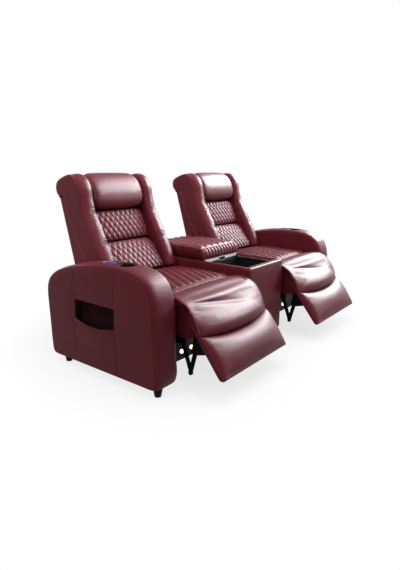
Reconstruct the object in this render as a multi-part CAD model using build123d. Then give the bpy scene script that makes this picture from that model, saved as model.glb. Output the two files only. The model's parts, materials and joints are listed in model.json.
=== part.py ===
# Two-seat cinema recliner with a centre console.
# Lengths are in millimetres.  X runs along the width, Y runs from front to back and Z is up.
# While it is drawn, Y = 0 is the front face of the arms; every piece is then moved so that
# the origin lies on the floor under the middle of the whole recliner.
import math
import os

from build123d import *

# ---- whole recliner -------------------------------------------------------------------
overall_width = 2080
plan_centre_y = 350        # moves the origin from the arm fronts to the middle of the plan
foot_height = 52
moving_gap = 0.3           # air between soft or flat faces that move past each other
running_gap = 0.05         # radial air of a shaft in its hole

# ---- arms -----------------------------------------------------------------------------
arm_width = 156
arm_depth = 830
arm_height = 632
arm_crown = 16             # how far the padded top falls from its middle to its edges
arm_corner = 20            # easing of the two lower corners
pocket_front = 300
pocket_length = 305
pocket_floor = 130
pocket_top = 412
pocket_lip = 300           # height of the pocket panel at its two ends
pocket_sag = 24            # how far the lip hangs at its middle
pocket_depth = 44
pocket_panel = 7

# ---- cup holders and switch panels ----------------------------------------------------
cup_y = 280
cup_bore_radius = 41
cup_wall = 3
cup_depth = 72
cup_flange_radius = 54
cup_flange = 4
inlay_drop = 9             # depth of the flat seats in the padded arm top
panel_y = 400
panel_length = 92
panel_width = 42
panel_thickness = 5
panel_well = 8             # depth of the box under the switches
rocker_length = 26
rocker_width = 22
rocker_height = 9
rocker_spacing = 38
rocker_pin_radius = 1.5
rocker_gap = 2.2

# ---- feet -----------------------------------------------------------------------------
foot_top_radius = 27
foot_bottom_radius = 17
foot_inset = 55
foot_front_y = 52
foot_rear_y = 742

# ---- console --------------------------------------------------------------------------
console_width = 424
console_front = 4
console_back = 830
console_height = 527
console_wall = 24
console_front_wall = 42
bin_back = 342
bin_floor = 290
liner_wall = 3
deck_drop = 33             # from the console's top down to the fixed deck behind the bin
rail_width = 10
rail_height = 6
rail_length = 740
lid_front = 352            # lid as it stands in the photograph, slid open
lid_length = 476
lid_width = 414
lid_thickness = 70
lid_lift = 5               # air between the console top and the padded lid
lid_board_thickness = 20
lid_strip = 2
latch_width = 56
latch_height = 20
latch_depth = 9
latch_travel = 4
lid_diamond_x = 104
lid_diamond_y = 160
lid_puff = 9

# ---- seat frame of one seat -----------------------------------------------------------
side_plate_half = 289      # inner face of the pressed side plates, from the seat's middle
leg_motor_start = 138      # from the rod's pin back to the actuator's tube
back_motor_start = 120
side_plate = 4
plate_nose = -6            # foremost point of the side plates, behind the closed legrest
plate_window_y = 340       # middle of the lightening slot
plate_window_z = 266
plate_window_length = 300
plate_window_height = 26
cross_tube = 26
cross_tube_z = 140
front_tube_y = 120
rear_tube_y = 520
kick_panel = 3             # black steel panel across the front cross tube
kick_low = 98
kick_high = 234
kick_notch = 54            # width of the notch in its top for the rod and its lug
kick_notch_depth = 34      # how far the notch reaches below the rod
light_radius = 11
light_depth = 8
light_offsets = (-190, -105, 105, 190)
light_z = 146

# ---- seat box and cushion -------------------------------------------------------------
box_board = 18
box_front = 20
box_back = 560
box_bottom = 282
box_top = 394
batten = 8
batten_width = 40
batten_places = (170, 300, 430)
cushion_half_width = 326
cushion_back = 566
cushion_top = 470          # valley height of the quilting
seam_y = 120               # stitched seam across the seat
nose_front = -27
nose_bottom = 441
nose_back = 64
nose_radius = 40
seat_crown = 18
seat_diamond_x = 112
seat_diamond_y = 118
seat_puff = 11

# ---- legrest --------------------------------------------------------------------------
knee_y = -32
knee_z = 431
leg_drop = 52              # degrees that the rest hangs below level
pad_half_width = 323
leg_length = 381
pad_start = 10
crease_edge = 142          # distance of the smile-shaped crease from the knee, at the sides
crease_sag = 38
board_front = -12
board_thickness = 18
pad_crown = 28
knee_pin_radius = 4
knee_eye_radius = 8.5
bracket_half = 309         # inner face of the legrest brackets
bracket = 5
link_s = 160               # link pivot on the bracket, along and behind the rest
link_n = -50
crank_half = 295
coupler_half = 302
link = 5
link_width = 24
link_pin_radius = 6
open_pivot_gap = 0.3
knee_plate_half = 302
knee_foot_back = 58        # leg of the knee plate that is screwed to the box's side
knee_foot_length = 20
knee_foot_low = 320
torque_tube_radius = 12
crank_tip_y = -47
crank_tip_z = 106

# ---- actuators ------------------------------------------------------------------------
lug_throw = 60             # height of the rod under its shaft
lug_reach = 97
lug_thickness = 6
lug_width = 36
drive_pin_radius = 4
leg_slot = 17.5
back_slot = 12.5
leg_lug_centre = 7         # legrest angle at which its lug hangs straight down
back_lug_centre = 13.5
rod_radius = 9
rod_length = 390
actuator_tube = 14
actuator_length = 300
gearbox = 62
gearbox_half = 25.5
motor_can = 44
fork_gap = 1.5
fork_cheek = 5
fork_open_length = 36      # room behind the pin for the lug as it swings
fork_length = 40           # from the pin back to the rod
back_motor_x = 90

# ---- back -----------------------------------------------------------------------------
back_pivot_y = 610
back_pivot_z = 420
lean = 17                  # degrees
back_half_width = 310
wing_thickness = 40
rear_plane = 172           # back panel, behind the pivot and square to the lean
panel_skin = 20
scroll_radius = 57
scroll_rear = 140
scroll_height = 640
upright_half = 262         # outer face of the timber uprights
upright_thickness = 18
upright_drop = 43          # from the scroll's centre down to the uprights' tops
rail_front = 112
rail_thickness = 18
low_rails = ((66, 50), (246, 50))       # height above the pivot, and width
high_rails = ((200, 90), (90, 46))      # how far below the scroll's centre, and width
bolster_back = 72
pad_bottom = 50            # lower edge of the back pads, above the pivot
hinge_plate_half = 282
hinge_plate = 5
hinge_plate_front = 84     # the plate's upper leg, which is bolted to the upright
hinge_plate_back = 142
hinge_plate_top = 230
hinge_lug = 30             # half-width of the plate at its pivot
back_tube_radius = 14
back_pin_radius = 6
bolster_inner = 212
lumbar_half_width = 205
lumbar_split = 266
lumbar_top = 468
lumbar_diamond_x = 82
lumbar_diamond_y = 92
lumbar_puff = 12
headrest_half_width = 193
headrest_pivot_b = 28
headrest_pivot_h = 515
headrest_round = 42
headrest_top = 690
headrest_pin_radius = 5
headrest_arm = 4

# ---- worked out from the sizes above --------------------------------------------------
half_width = overall_width / 2
console_half = console_width / 2
seat_opening = half_width - arm_width - console_half
seat_x = console_half + seat_opening / 2
arm_x = half_width - arm_width / 2
leg_tilt = math.radians(leg_drop)
along = (-math.cos(leg_tilt), -math.sin(leg_tilt))      # down the legrest
outward = (-math.sin(leg_tilt), math.cos(leg_tilt))     # out of its face
link_y = knee_y + link_s * along[0] + link_n * outward[0]
link_z = knee_z + link_s * along[1] + link_n * outward[1]
shaft_y = crank_tip_y + knee_y - link_y                 # the crank runs parallel to the rest
shaft_z = crank_tip_z + knee_z - link_z
lid_bottom = console_height + lid_lift
board_top = lid_bottom
box_half_width = side_plate_half - moving_gap


def group(*pieces):
    """Separate solids kept side by side in one piece of the recliner."""
    return Compound([solid for piece in pieces for solid in piece.solids()])


def spread(x0, x1, y0, y1, z0, z1):
    """Block between two corners."""
    middle = Pos((x0 + x1) / 2, (y0 + y1) / 2, (z0 + z1) / 2)
    return middle * Box(abs(x1 - x0), abs(y1 - y0), abs(z1 - z0))


def outline(start, *steps):
    """Face from a start point: a point is a straight side, a pair of points is an arc."""
    edges = []
    here = start
    for step in steps:
        if isinstance(step[0], tuple):
            edges.append(ThreePointArc(here, step[0], step[1]))
            here = step[1]
        else:
            edges.append(Line(here, step))
            here = step
    if math.dist(here, start) > 1e-6:
        edges.append(Line(here, start))
    return make_face(edges)


def across(face, x0, x1):
    """Pushes a face drawn in Y and Z through from x0 to x1."""
    return extrude(Plane.YZ.offset(min(x0, x1)) * face, amount=abs(x1 - x0))


def upright(face, y0, y1):
    """Pushes a face drawn in X and Z through from y0 to y1."""
    return extrude(Plane.XZ.offset(-y1) * face, amount=y1 - y0)


def rod_x(y, z, radius, x0, x1):
    return Pos((x0 + x1) / 2, y, z) * Rot(0, 90, 0) * Cylinder(radius, abs(x1 - x0))


def rod_y(x, z, radius, y0, y1):
    return Pos(x, (y0 + y1) / 2, z) * Rot(90, 0, 0) * Cylinder(radius, abs(y1 - y0))


def both_sides(make):
    """A piece on the right of the seat's middle and its mirror image."""
    right = make()
    return group(right, mirror(right, about=Plane.YZ))


def quilted(length_x, length_y, depth, diamond_x, diamond_y, puff):
    """Slab with diamond pillows: two rows of arches crossed on the diamonds' two directions."""
    size = math.hypot(diamond_x, diamond_y)
    pitch = diamond_x * diamond_y / size
    reach = math.hypot(length_x, length_y)
    arches = 2 * math.ceil(reach / pitch / 2)
    edge = arches * pitch / 2
    steps = [(-edge, 0)]
    for k in range(arches):
        left = -edge + k * pitch
        steps.append(((left + pitch / 2, puff), (left + pitch, 0)))
    steps.append((edge, -depth))
    face = outline((-edge, -depth), *steps)
    slab = Pos(0, 0, (puff - depth) / 2) * Box(length_x, length_y, depth + puff)
    for side in (1, -1):
        run = (diamond_x / size, side * diamond_y / size, 0)
        row = Plane(origin=(0, 0, 0), x_dir=(-run[1], run[0], 0), z_dir=run)
        slab = slab & extrude(row * face, amount=reach, both=True)
    return slab


# ---- arms -----------------------------------------------------------------------------
def arm_outline():
    top = arm_height
    low = foot_height
    ease = arm_corner
    return outline(
        (4 + ease, low),
        ((4 + ease * 0.27, low + ease * 0.27), (4, low + ease)),
        (14, 440),
        ((48, 548), (140, top - 14)),
        ((262, top), (400, top - 6)),
        (640, top - 44),
        ((805, top - 100), (864, top - 204)),
        (arm_depth, low + ease),
        ((arm_depth - ease * 0.27, low + ease * 0.27), (arm_depth - ease, low)),
    )


def crowned(width, bottom, top, crown):
    """Front view of a padded bar: soft shoulders and a gently arched top."""
    half = width / 2
    shoulder = crown * 1.6
    return outline(
        (-half, bottom),
        (-half, top - crown - shoulder),
        ((-half + shoulder * 0.3, top - crown - shoulder * 0.3), (-half + shoulder, top - crown * 0.55)),
        ((0, top), (half - shoulder, top - crown * 0.55)),
        ((half - shoulder * 0.3, top - crown - shoulder * 0.3), (half, top - crown - shoulder)),
        (half, bottom),
    )


def arm(side):
    """One padded arm: recess for the pocket, flat seats for the cup holder and the switches."""
    body = across(arm_outline(), -arm_width / 2, arm_width / 2)
    body = body & upright(crowned(arm_width, foot_height - 1, arm_height, arm_crown), -10, arm_depth + 60)
    outer = side * arm_width / 2
    recess = spread(outer, outer - side * pocket_depth,
                    pocket_front, pocket_front + pocket_length, foot_height + 12, pocket_top)
    body = body - recess
    seat = arm_height - inlay_drop
    body = body - Pos(0, cup_y, seat + 20) * Cylinder(cup_flange_radius + 1, 40)
    body = body - Pos(0, cup_y, seat - cup_depth / 2) * Cylinder(
        cup_bore_radius + cup_wall + moving_gap, cup_depth + 2 * cup_wall + 2)
    plate = panel_seat()
    body = body - Pos(0, panel_y, plate + 20) * Box(panel_width + 1, panel_length + 1, 40)
    well = panel_well + panel_thickness
    body = body - Pos(0, panel_y, plate - well / 2) * Box(panel_width - 8, panel_length - 10, well)
    return Pos(side * arm_x, 0, 0) * body


def panel_seat():
    """Height of the flat seat under a switch panel."""
    return arm_height - inlay_drop - 4


def pocket_cover(side):
    """Leather panel that closes the magazine pocket up to its hanging lip."""
    back = pocket_front + pocket_length
    middle = pocket_front + pocket_length / 2
    face = outline(
        (pocket_front, foot_height + 12),
        (pocket_front, pocket_lip),
        ((middle, pocket_lip - pocket_sag), (back, pocket_lip)),
        (back, foot_height + 12),
    )
    outer = half_width
    panel = across(face, outer - pocket_panel, outer)
    hem = across(outline(
        (pocket_front, foot_height + 12),
        (pocket_front, pocket_floor),
        (back, pocket_floor),
        (back, foot_height + 12),
    ), outer - pocket_depth, outer - pocket_panel)
    cover = panel + hem
    return cover if side > 0 else mirror(cover, about=Plane.YZ)


def cup_holder(side):
    outer = cup_bore_radius + cup_wall
    seat = arm_height - inlay_drop
    cup = Pos(0, 0, -cup_depth / 2) * Cylinder(outer, cup_depth)
    cup = cup + Pos(0, 0, cup_flange / 2) * Cylinder(cup_flange_radius, cup_flange)
    bore = cup_depth - cup_wall + cup_flange
    cup = cup - Pos(0, 0, cup_flange - bore / 2) * Cylinder(cup_bore_radius, bore)
    rim = cup.edges().filter_by(GeomType.CIRCLE).group_by(Axis.Z)[-1]
    cup = fillet(rim, 1.5)
    return Pos(side * arm_x, cup_y, seat) * cup


def switch_panel(side):
    """Plate with a shallow box below and a window for each rocker."""
    plate = Pos(0, 0, panel_thickness / 2) * Box(panel_width, panel_length, panel_thickness)
    plate = fillet(plate.edges().filter_by(Axis.Z), 8)
    plate = fillet(plate.edges().group_by(Axis.Z)[-1], 1.5)
    window_x = rocker_width + 2 * rocker_gap
    window_y = rocker_length + 2 * rocker_gap
    box_x = window_x + 4
    box_y = rocker_spacing + window_y + 4
    plate = plate + Pos(0, 0, -panel_well / 2) * Box(box_x, box_y, panel_well)
    for place in (-1, 1):
        cut = panel_thickness + panel_well - 2
        y = place * rocker_spacing / 2
        plate = plate - Pos(0, y, panel_thickness - cut / 2) * Box(window_x, window_y, cut)
        pin = rod_x(y, 0, rocker_pin_radius, -box_x / 2, box_x / 2)
        plate = plate + pin
    return Pos(side * arm_x, panel_y, panel_seat()) * plate


def rocker(side, place):
    """Rocking key on its pin, dished so that a fingertip finds each end."""
    half = rocker_length / 2
    top = panel_thickness + 3
    face = outline(
        (-half, 1.2),
        (-half, top),
        ((0, top - 2), (half, top)),
        (half, 1.2),
        ((0, -rocker_height / 2), (-half, 1.2)),
    )
    key = across(face, -rocker_width / 2, rocker_width / 2)
    key = key - rod_x(0, 0, rocker_pin_radius + running_gap, -rocker_width, rocker_width)
    return Pos(side * arm_x, panel_y + place * rocker_spacing / 2, panel_seat()) * key


def foot(x, y):
    height = foot_height
    return Pos(x, y, height / 2) * Cone(foot_bottom_radius, foot_top_radius, height)


def feet():
    places = [(side * x, y)
              for x in (half_width - foot_inset, console_half - foot_inset)
              for y in (foot_front_y, foot_rear_y)
              for side in (-1, 1)]
    return group(*[foot(x, y) for x, y in places])


# ---- console --------------------------------------------------------------------------
def console_body():
    """Padded box, open on top: a deep bin in front and a shallow run for the lid behind it."""
    soft = 20
    face = outline(
        (console_front, foot_height),
        (console_front, console_height - soft),
        ((console_front + soft * 0.3, console_height - soft * 0.3), (console_front + soft, console_height)),
        (console_back, console_height),
        (console_back, foot_height),
    )
    body = across(face, -console_half, console_half)
    inner = console_half - console_wall
    bin_front = console_front + console_front_wall
    body = body - spread(-inner, inner, bin_front, bin_back, bin_floor, console_height + 1)
    run_back = console_back - console_wall
    body = body - spread(-inner, inner, bin_back - 1, run_back, console_height - deck_drop, console_height + 1)
    return body


def console_liner():
    """Black tub that drops into the bin."""
    inner = console_half - console_wall - moving_gap
    y0 = console_front + console_front_wall + moving_gap
    y1 = bin_back - moving_gap
    top = rail_top() - rail_height - moving_gap
    z0 = bin_floor + moving_gap
    tub = spread(-inner, inner, y0, y1, z0, top)
    hollow = spread(-inner + liner_wall, inner - liner_wall, y0 + liner_wall, y1 - liner_wall,
                    z0 + liner_wall, top + 1)
    return tub - hollow


def rail_top():
    return board_top - lid_board_thickness - moving_gap


def lid_rails():
    inner = console_half - console_wall
    y0 = console_front + console_front_wall + 10
    top = rail_top()
    return both_sides(lambda: spread(inner - rail_width, inner, y0, y0 + rail_length, top - rail_height, top))


def lid_pad():
    """Padded lid: quilted top with drawn-in ends and soft rolled sides."""
    top = lid_bottom + lid_thickness
    y0 = lid_front
    y1 = lid_front + lid_length
    edge = 22
    side_view = outline(
        (y0 + 4, lid_bottom),
        ((y0 - 6, lid_bottom + lid_thickness * 0.45), (y0 + edge, top - 2)),
        (((y0 + y1) / 2, top + 10), (y1 - edge, top - 2)),
        ((y1 + 2, lid_bottom + lid_thickness * 0.45), (y1 - 4, lid_bottom)),
    )
    half = lid_width / 2
    end_view = outline(
        (-half + 3, lid_bottom - 1),
        ((-half, lid_bottom + lid_thickness * 0.45), (-half + edge, top - 4)),
        ((0, top + 12), (half - edge, top - 4)),
        ((half, lid_bottom + lid_thickness * 0.45), (half - 3, lid_bottom - 1)),
    )
    pad = across(side_view, -half, half) & upright(end_view, y0 - 20, y1 + 20)
    pillows = Pos(0, (y0 + y1) / 2, top) * quilted(
        lid_width, lid_length + 30, lid_thickness + 2, lid_diamond_x, lid_diamond_y, lid_puff)
    return pad & pillows


def lid_board():
    inner = console_half - console_wall - 1
    y0 = lid_front + lid_strip
    return spread(-inner, inner, y0, y0 + lid_length - 30, board_top - lid_board_thickness, board_top)


def lid_trim():
    """Bright strip along the board's front edge with a window for the latch."""
    inner = console_half - console_wall - 1
    strip = spread(-inner, inner, lid_front, lid_front + lid_strip,
                   board_top - lid_board_thickness, board_top)
    return strip


def lid_latch():
    """Black press latch on the strip."""
    z1 = board_top - 2
    body = spread(-latch_width / 2, latch_width / 2, lid_front - latch_depth,
                  lid_front - latch_travel - moving_gap, z1 - latch_height, z1)
    body = fillet(body.edges().filter_by(Axis.Y), 4)
    return body


def latch_frame():
    """Collar fixed to the strip that guides the latch."""
    z1 = board_top - 2
    wall = 3
    gap = moving_gap
    outer = spread(-latch_width / 2 - wall - gap, latch_width / 2 + wall + gap,
                   lid_front - latch_depth + 2, lid_front,
                   z1 - latch_height - wall - gap, z1 + 1.8)
    inner = spread(-latch_width / 2 - gap, latch_width / 2 + gap,
                   lid_front - latch_depth, lid_front + 1,
                   z1 - latch_height - gap, z1 + gap)
    return outer - inner


# ---- mechanism of one seat, drawn about the seat's middle -------------------------------
def side_plate_outline():
    return outline(
        (plate_nose + 6, 246),
        ((plate_nose, shaft_z), (plate_nose + 6, 280)),
        (60, 296),
        (560, 296),
        (578, 432),
        ((back_pivot_y, 452), (642, 432)),
        (602, 304),
        (552, 236),
        (rear_tube_y + 26, cross_tube_z - 20),
        (rear_tube_y - 26, cross_tube_z - 20),
        (484, 236),
        (160, 236),
        (front_tube_y + 26, cross_tube_z - 20),
        (front_tube_y - 22, cross_tube_z - 20),
        (76, 232),
    )


def base_frame():
    """Two pressed side plates on two square cross tubes that reach from the arm to the console."""
    def plate():
        blank = across(side_plate_outline(), side_plate_half, side_plate_half + side_plate)
        x0 = side_plate_half - 1
        x1 = side_plate_half + side_plate + 1
        blank = blank - rod_x(shaft_y, shaft_z, torque_tube_radius + running_gap, x0, x1)
        blank = blank - rod_x(back_pivot_y, back_pivot_z, back_pin_radius + running_gap, x0, x1)
        for tube in tubes:
            blank = blank - tube
        window = Pos(plate_window_y, plate_window_z) * SlotOverall(plate_window_length, plate_window_height)
        return blank - across(window, x0, x1)

    half = seat_opening / 2
    tubes = [spread(-half, half, y - cross_tube / 2, y + cross_tube / 2,
                    cross_tube_z - cross_tube / 2, cross_tube_z + cross_tube / 2)
             for y in (front_tube_y, rear_tube_y)]
    return group(both_sides(plate), *tubes, front_panel())


def panel_face():
    return front_tube_y - cross_tube / 2 - kick_panel


def front_panel():
    """Panel between the side plates that closes the space under the seat's front."""
    half = side_plate_half
    y0 = panel_face()
    panel = spread(-half, half, y0, y0 + kick_panel, kick_low, kick_high)
    notch_low = shaft_z - lug_throw - kick_notch_depth
    return panel - spread(-kick_notch / 2, kick_notch / 2, y0 - 1, y0 + kick_panel + 1, notch_low, kick_high + 1)


def lights():
    """Row of round lamps on the front panel."""
    face = panel_face()
    return group(*[rod_y(x, light_z, light_radius, face - light_depth, face) for x in light_offsets])


def seat_box():
    """Timber box under the cushion with cross battens, and the knee hinge plates at its front."""
    half = box_half_width
    inside = half - box_board
    y0 = box_front + box_board
    y1 = box_back - box_board
    front = spread(-half, half, box_front, y0, box_bottom, box_top)
    rear = spread(-half, half, y1, box_back, box_bottom + 34, box_top)
    rod_z = back_pivot_z - lug_throw
    fork = lug_thickness / 2 + fork_gap + fork_cheek + 4
    rear = rear - spread(back_motor_x - fork, back_motor_x + fork, y1 - 1, box_back + 1,
                         rod_z - rod_radius - 4, rod_z + rod_radius + 4)
    sides = both_sides(lambda: spread(inside, half, y0, y1, box_bottom + 18, box_top))
    battens = [spread(-inside, inside, y, y + batten_width, box_top - batten, box_top) for y in batten_places]
    return group(front, rear, sides, *battens)


def knee_plates():
    """Steel arms from the box side that hold the knee pins."""
    z0 = knee_z - 6
    z1 = knee_z + 6
    face = outline(
        (knee_y, z0),
        ((knee_y - knee_eye_radius + 1, knee_z), (knee_y, z1)),
        (knee_foot_back, z1),
        (knee_foot_back, knee_foot_low),
        (knee_foot_back - knee_foot_length, knee_foot_low),
        (knee_foot_back - knee_foot_length, z0),
    )

    def plate():
        x0 = knee_plate_half
        arm_plate = across(face, x0, x0 + link)
        arm_plate = arm_plate - rod_x(knee_y, knee_z, knee_pin_radius + running_gap, x0 - 1, x0 + link + 1)
        foot_y = knee_foot_back - knee_foot_length
        return group(arm_plate, spread(box_half_width, x0, foot_y, knee_foot_back,
                                       knee_foot_low + 10, box_top - 9))

    return both_sides(plate)


def seat_cushion():
    """Long cushion: diamond pillows behind the seam, a smooth waterfall nose in front of it."""
    half = cushion_half_width
    top = cushion_top + seat_crown
    side_view = outline(
        (nose_front, nose_bottom),
        ((nose_front + 10, cushion_top - 18), (nose_front + nose_radius + 12, cushion_top + 4)),
        ((seam_y - 40, top - 6), (seam_y + 4, cushion_top + 2)),
        (((seam_y + cushion_back) / 2, top + 4), (cushion_back - 20, cushion_top)),
        ((cushion_back - 2, cushion_top - 20), (cushion_back, cushion_top - 44)),
        (cushion_back, box_top + moving_gap),
        (nose_back, box_top + moving_gap),
        (nose_back, nose_bottom),
    )
    end_view = outline(
        (-half, box_top),
        (-half, cushion_top - 26),
        ((-half + 8, cushion_top - 8), (-half + 26, cushion_top)),
        ((0, top), (half - 26, cushion_top)),
        ((half - 8, cushion_top - 8), (half, cushion_top - 26)),
        (half, box_top),
    )
    cushion = across(side_view, -half, half) & upright(end_view, nose_front - 5, cushion_back + 5)
    pillow_length = cushion_back - seam_y + 2
    pillows = Pos(0, seam_y + pillow_length / 2, cushion_top + 4) * quilted(
        2 * half, pillow_length, cushion_top, seat_diamond_x, seat_diamond_y, seat_puff)
    front = cushion & spread(-half, half, nose_front - 5, seam_y, box_top - 5, top + 30)
    return front + (cushion & pillows)


# ---- legrest ----------------------------------------------------------------------------
def on_legrest(shape):
    """Puts a piece drawn flat (X across, Y down the rest, Z out of its face) at the knee."""
    place = Plane(origin=(0, knee_y, knee_z), x_dir=(-1, 0, 0), z_dir=(0, outward[0], outward[1]))
    return place * shape


def legrest_board():
    half = pad_half_width - 5
    s0 = pad_start + 2
    s1 = leg_length - 8
    board = Pos(0, (s0 + s1) / 2, board_front - board_thickness / 2) * Box(2 * half, s1 - s0, board_thickness)
    board = fillet(board.edges().filter_by(Axis.Z), 24)
    return on_legrest(board)


def bracket_outline():
    """Bracket in the legrest's own plane: first number down the rest, second out of its face."""
    under = board_front - board_thickness - moving_gap
    return outline(
        (-knee_eye_radius, 0),
        ((0, knee_eye_radius), (knee_eye_radius - 0.5, 0)),
        (knee_eye_radius - 0.5, under),
        (232, under),
        (226, under - 16),
        (204, -98),
        ((190, -110), (172, -100)),
        (150, -72),
        (118, under - 14),
        (-knee_eye_radius, under - 14),
    )


def legrest_brackets():
    """Two brackets under the board; each carries the knee pin and the link's pivot hole."""
    def one():
        plate = extrude(Plane.YZ.offset(bracket_half) * bracket_outline(), amount=bracket)
        plate = plate - rod_x(link_s, link_n, link_pin_radius + open_pivot_gap, bracket_half - 1,
                              bracket_half + bracket + 1)
        foot_flange = spread(bracket_half - 30, bracket_half + bracket, 30, 110,
                             board_front - board_thickness - moving_gap - 3,
                             board_front - board_thickness - moving_gap)
        pin = rod_x(0, 0, knee_pin_radius, knee_plate_half, bracket_half)
        return plate + foot_flange + pin

    return on_legrest(both_sides(one))


def pad_plan(low_side, high_side):
    """Plan of a legrest pad between two distances; a pair is (at the sides, at the middle)."""
    half = pad_half_width
    return outline(
        (-half, low_side[0]),
        ((0, low_side[1]), (half, low_side[0])),
        (half, high_side[0]),
        ((0, high_side[1]), (-half, high_side[0])),
    )


def pad_end_view(crown):
    """Cross-section of a pad: flat back, rolled sides, arched face."""
    half = pad_half_width
    return outline(
        (-half + 4, board_front),
        ((-half, board_front + 8), (-half + 10, board_front + 17)),
        ((0, crown), (half - 10, board_front + 17)),
        ((half, board_front + 8), (half - 4, board_front)),
    )


def leg_pad(plan, profile, crown):
    depth = crown + 40
    pad = extrude(plan, amount=depth) + extrude(plan, amount=-depth)
    pad = pad & across(profile, -pad_half_width - 1, pad_half_width + 1)
    pad = pad & upright(pad_end_view(crown), -20, leg_length + 20)
    return on_legrest(pad)


def calf_pad():
    """Smooth pad between the knee and the smile-shaped crease."""
    profile = outline(
        (pad_start, board_front),
        (pad_start, 2),
        ((90, pad_crown + 4), (crease_edge + crease_sag + 6, -4)),
        (crease_edge + crease_sag + 6, board_front),
    )
    plan = pad_plan((pad_start, pad_start - 0.5), (crease_edge - 1, crease_edge + crease_sag - 1))
    return leg_pad(plan, profile, pad_crown)


def foot_pad():
    """Plump pad below the crease, rolled over at its tip."""
    profile = outline(
        (crease_edge - 2, board_front),
        (crease_edge - 2, -2),
        ((250, pad_crown + 8), (leg_length - 22, pad_crown - 10)),
        ((leg_length - 3, 4), (leg_length, board_front)),
    )
    plan = pad_plan((crease_edge + 1, crease_edge + crease_sag + 1), (leg_length, leg_length + 1))
    return leg_pad(plan, profile, pad_crown + 6)


def crank():
    """Torque tube across the seat with a crank at each end and the drive lug at its middle."""
    tip = (crank_tip_y, crank_tip_z)

    def one():
        arm_face = bar((shaft_y, shaft_z), tip, link_width)
        plate = across(arm_face, crank_half, crank_half + link)
        pin = rod_x(tip[0], tip[1], link_pin_radius, crank_half, coupler_half + link + 1)
        return (plate + pin) - shaft

    shaft = rod_x(shaft_y, shaft_z, torque_tube_radius, -crank_half - link, crank_half + link)
    lug_place = Pos(0, shaft_y, shaft_z) * Rot(leg_lug_centre, 0, 0)
    return group(both_sides(one), shaft, lug_place * lug(leg_slot) - shaft)


def bar(start, end, width):
    """Flat link between two pivots with round ends, drawn in Y and Z."""
    length = math.dist(start, end)
    turn = math.degrees(math.atan2(end[1] - start[1], end[0] - start[0]))
    middle = Pos((start[0] + end[0]) / 2, (start[1] + end[1]) / 2)
    return middle * Rot(0, 0, turn) * SlotOverall(length + width, width)


def lug(slot):
    """Drive lug that hangs from a shaft at the origin, with a slot for the rod's pin."""
    face = bar((0, 0), (0, -lug_reach + lug_width / 2), lug_width)
    slot_low = -lug_throw / math.cos(math.radians(43)) - drive_pin_radius - 1
    slot_high = -lug_throw + drive_pin_radius + 3
    opening = outline((-slot / 2, slot_high), (slot / 2, slot_high), (slot / 2, slot_low), (-slot / 2, slot_low))
    face = face - opening
    return across(face, -lug_thickness / 2, lug_thickness / 2)


def couplers():
    """Links from the crank tips up to the legrest brackets."""
    def one():
        face = bar((crank_tip_y, crank_tip_z), (link_y, link_z), link_width)
        plate = across(face, coupler_half, coupler_half + link)
        plate = plate - rod_x(crank_tip_y, crank_tip_z, link_pin_radius + running_gap,
                              coupler_half - 1, coupler_half + link + 1)
        pin = rod_x(link_y, link_z, link_pin_radius, coupler_half, bracket_half + bracket + 1)
        return plate + pin

    return both_sides(one)


# ---- actuators --------------------------------------------------------------------------
def actuator_rod(x, pin_y, z, heading):
    """Screw rod with a forked end and cross pin; heading is +1 when it runs backwards."""
    cheek = lug_thickness / 2 + fork_gap
    outer = cheek + fork_cheek
    back = pin_y + heading * fork_length
    rod = rod_y(x, z, rod_radius, back, back + heading * rod_length)
    fork = spread(x - outer, x + outer, pin_y - heading * 8, back + heading * 6, z - 9, z + 9)
    clear = spread(x - cheek, x + cheek, pin_y - heading * 9, pin_y + heading * fork_open_length,
                   z - 10, z + 10)
    pin = rod_x(pin_y, z, drive_pin_radius, x - outer, x + outer)
    return rod + (fork - clear) + pin


def actuator_motor(x, start_y, z, heading, rise):
    """Outer tube, gearbox and motor can (above or below) of an actuator; the rod slides inside."""
    end = start_y + heading * actuator_length
    body = rod_y(x, z, actuator_tube, start_y, end)
    box_end = end + heading * gearbox
    body = body + spread(x - 34, x + 34, end, box_end, z - gearbox_half, z + gearbox_half)
    can = rise * (gearbox_half + motor_can / 2)
    body = body + Pos(x, (end + box_end) / 2, z + can) * Cylinder(gearbox_half, motor_can)
    bore_end = end + heading * (gearbox - 8)
    return body - rod_y(x, z, rod_radius + running_gap, start_y - heading, bore_end)


def leg_pin_y():
    return shaft_y + lug_throw * math.tan(math.radians(leg_lug_centre))


def leg_rod():
    return actuator_rod(0, leg_pin_y(), shaft_z - lug_throw, 1)


def leg_motor():
    z = shaft_z - lug_throw
    motor = actuator_motor(0, leg_pin_y() + leg_motor_start, z, 1, 1)
    strap = spread(-20, 20, rear_tube_y - 12, rear_tube_y + 12, cross_tube_z + cross_tube / 2, z - gearbox_half)
    return group(motor, strap)


def back_pin_place():
    return back_pivot_y + lug_throw * math.tan(math.radians(back_lug_centre))


def back_rod():
    return actuator_rod(back_motor_x, back_pin_place(), back_pivot_z - lug_throw, -1)


def back_motor():
    z = back_pivot_z - lug_throw
    motor = actuator_motor(back_motor_x, back_pin_place() - back_motor_start, z, -1, -1)
    y = batten_places[1]
    hanger = spread(back_motor_x - 8, back_motor_x + 8, y, y + batten_width, z + 8, box_top - batten)
    bore = rod_y(back_motor_x, z, actuator_tube - 1, y - 1, y + batten_width + 1)
    return motor + (hanger - bore)


# ---- back of one seat: X across, Y behind the pivot, Z up the lean ----------------------
def on_back(shape):
    return Pos(0, back_pivot_y, back_pivot_z) * Rot(-lean, 0, 0) * shape


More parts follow.
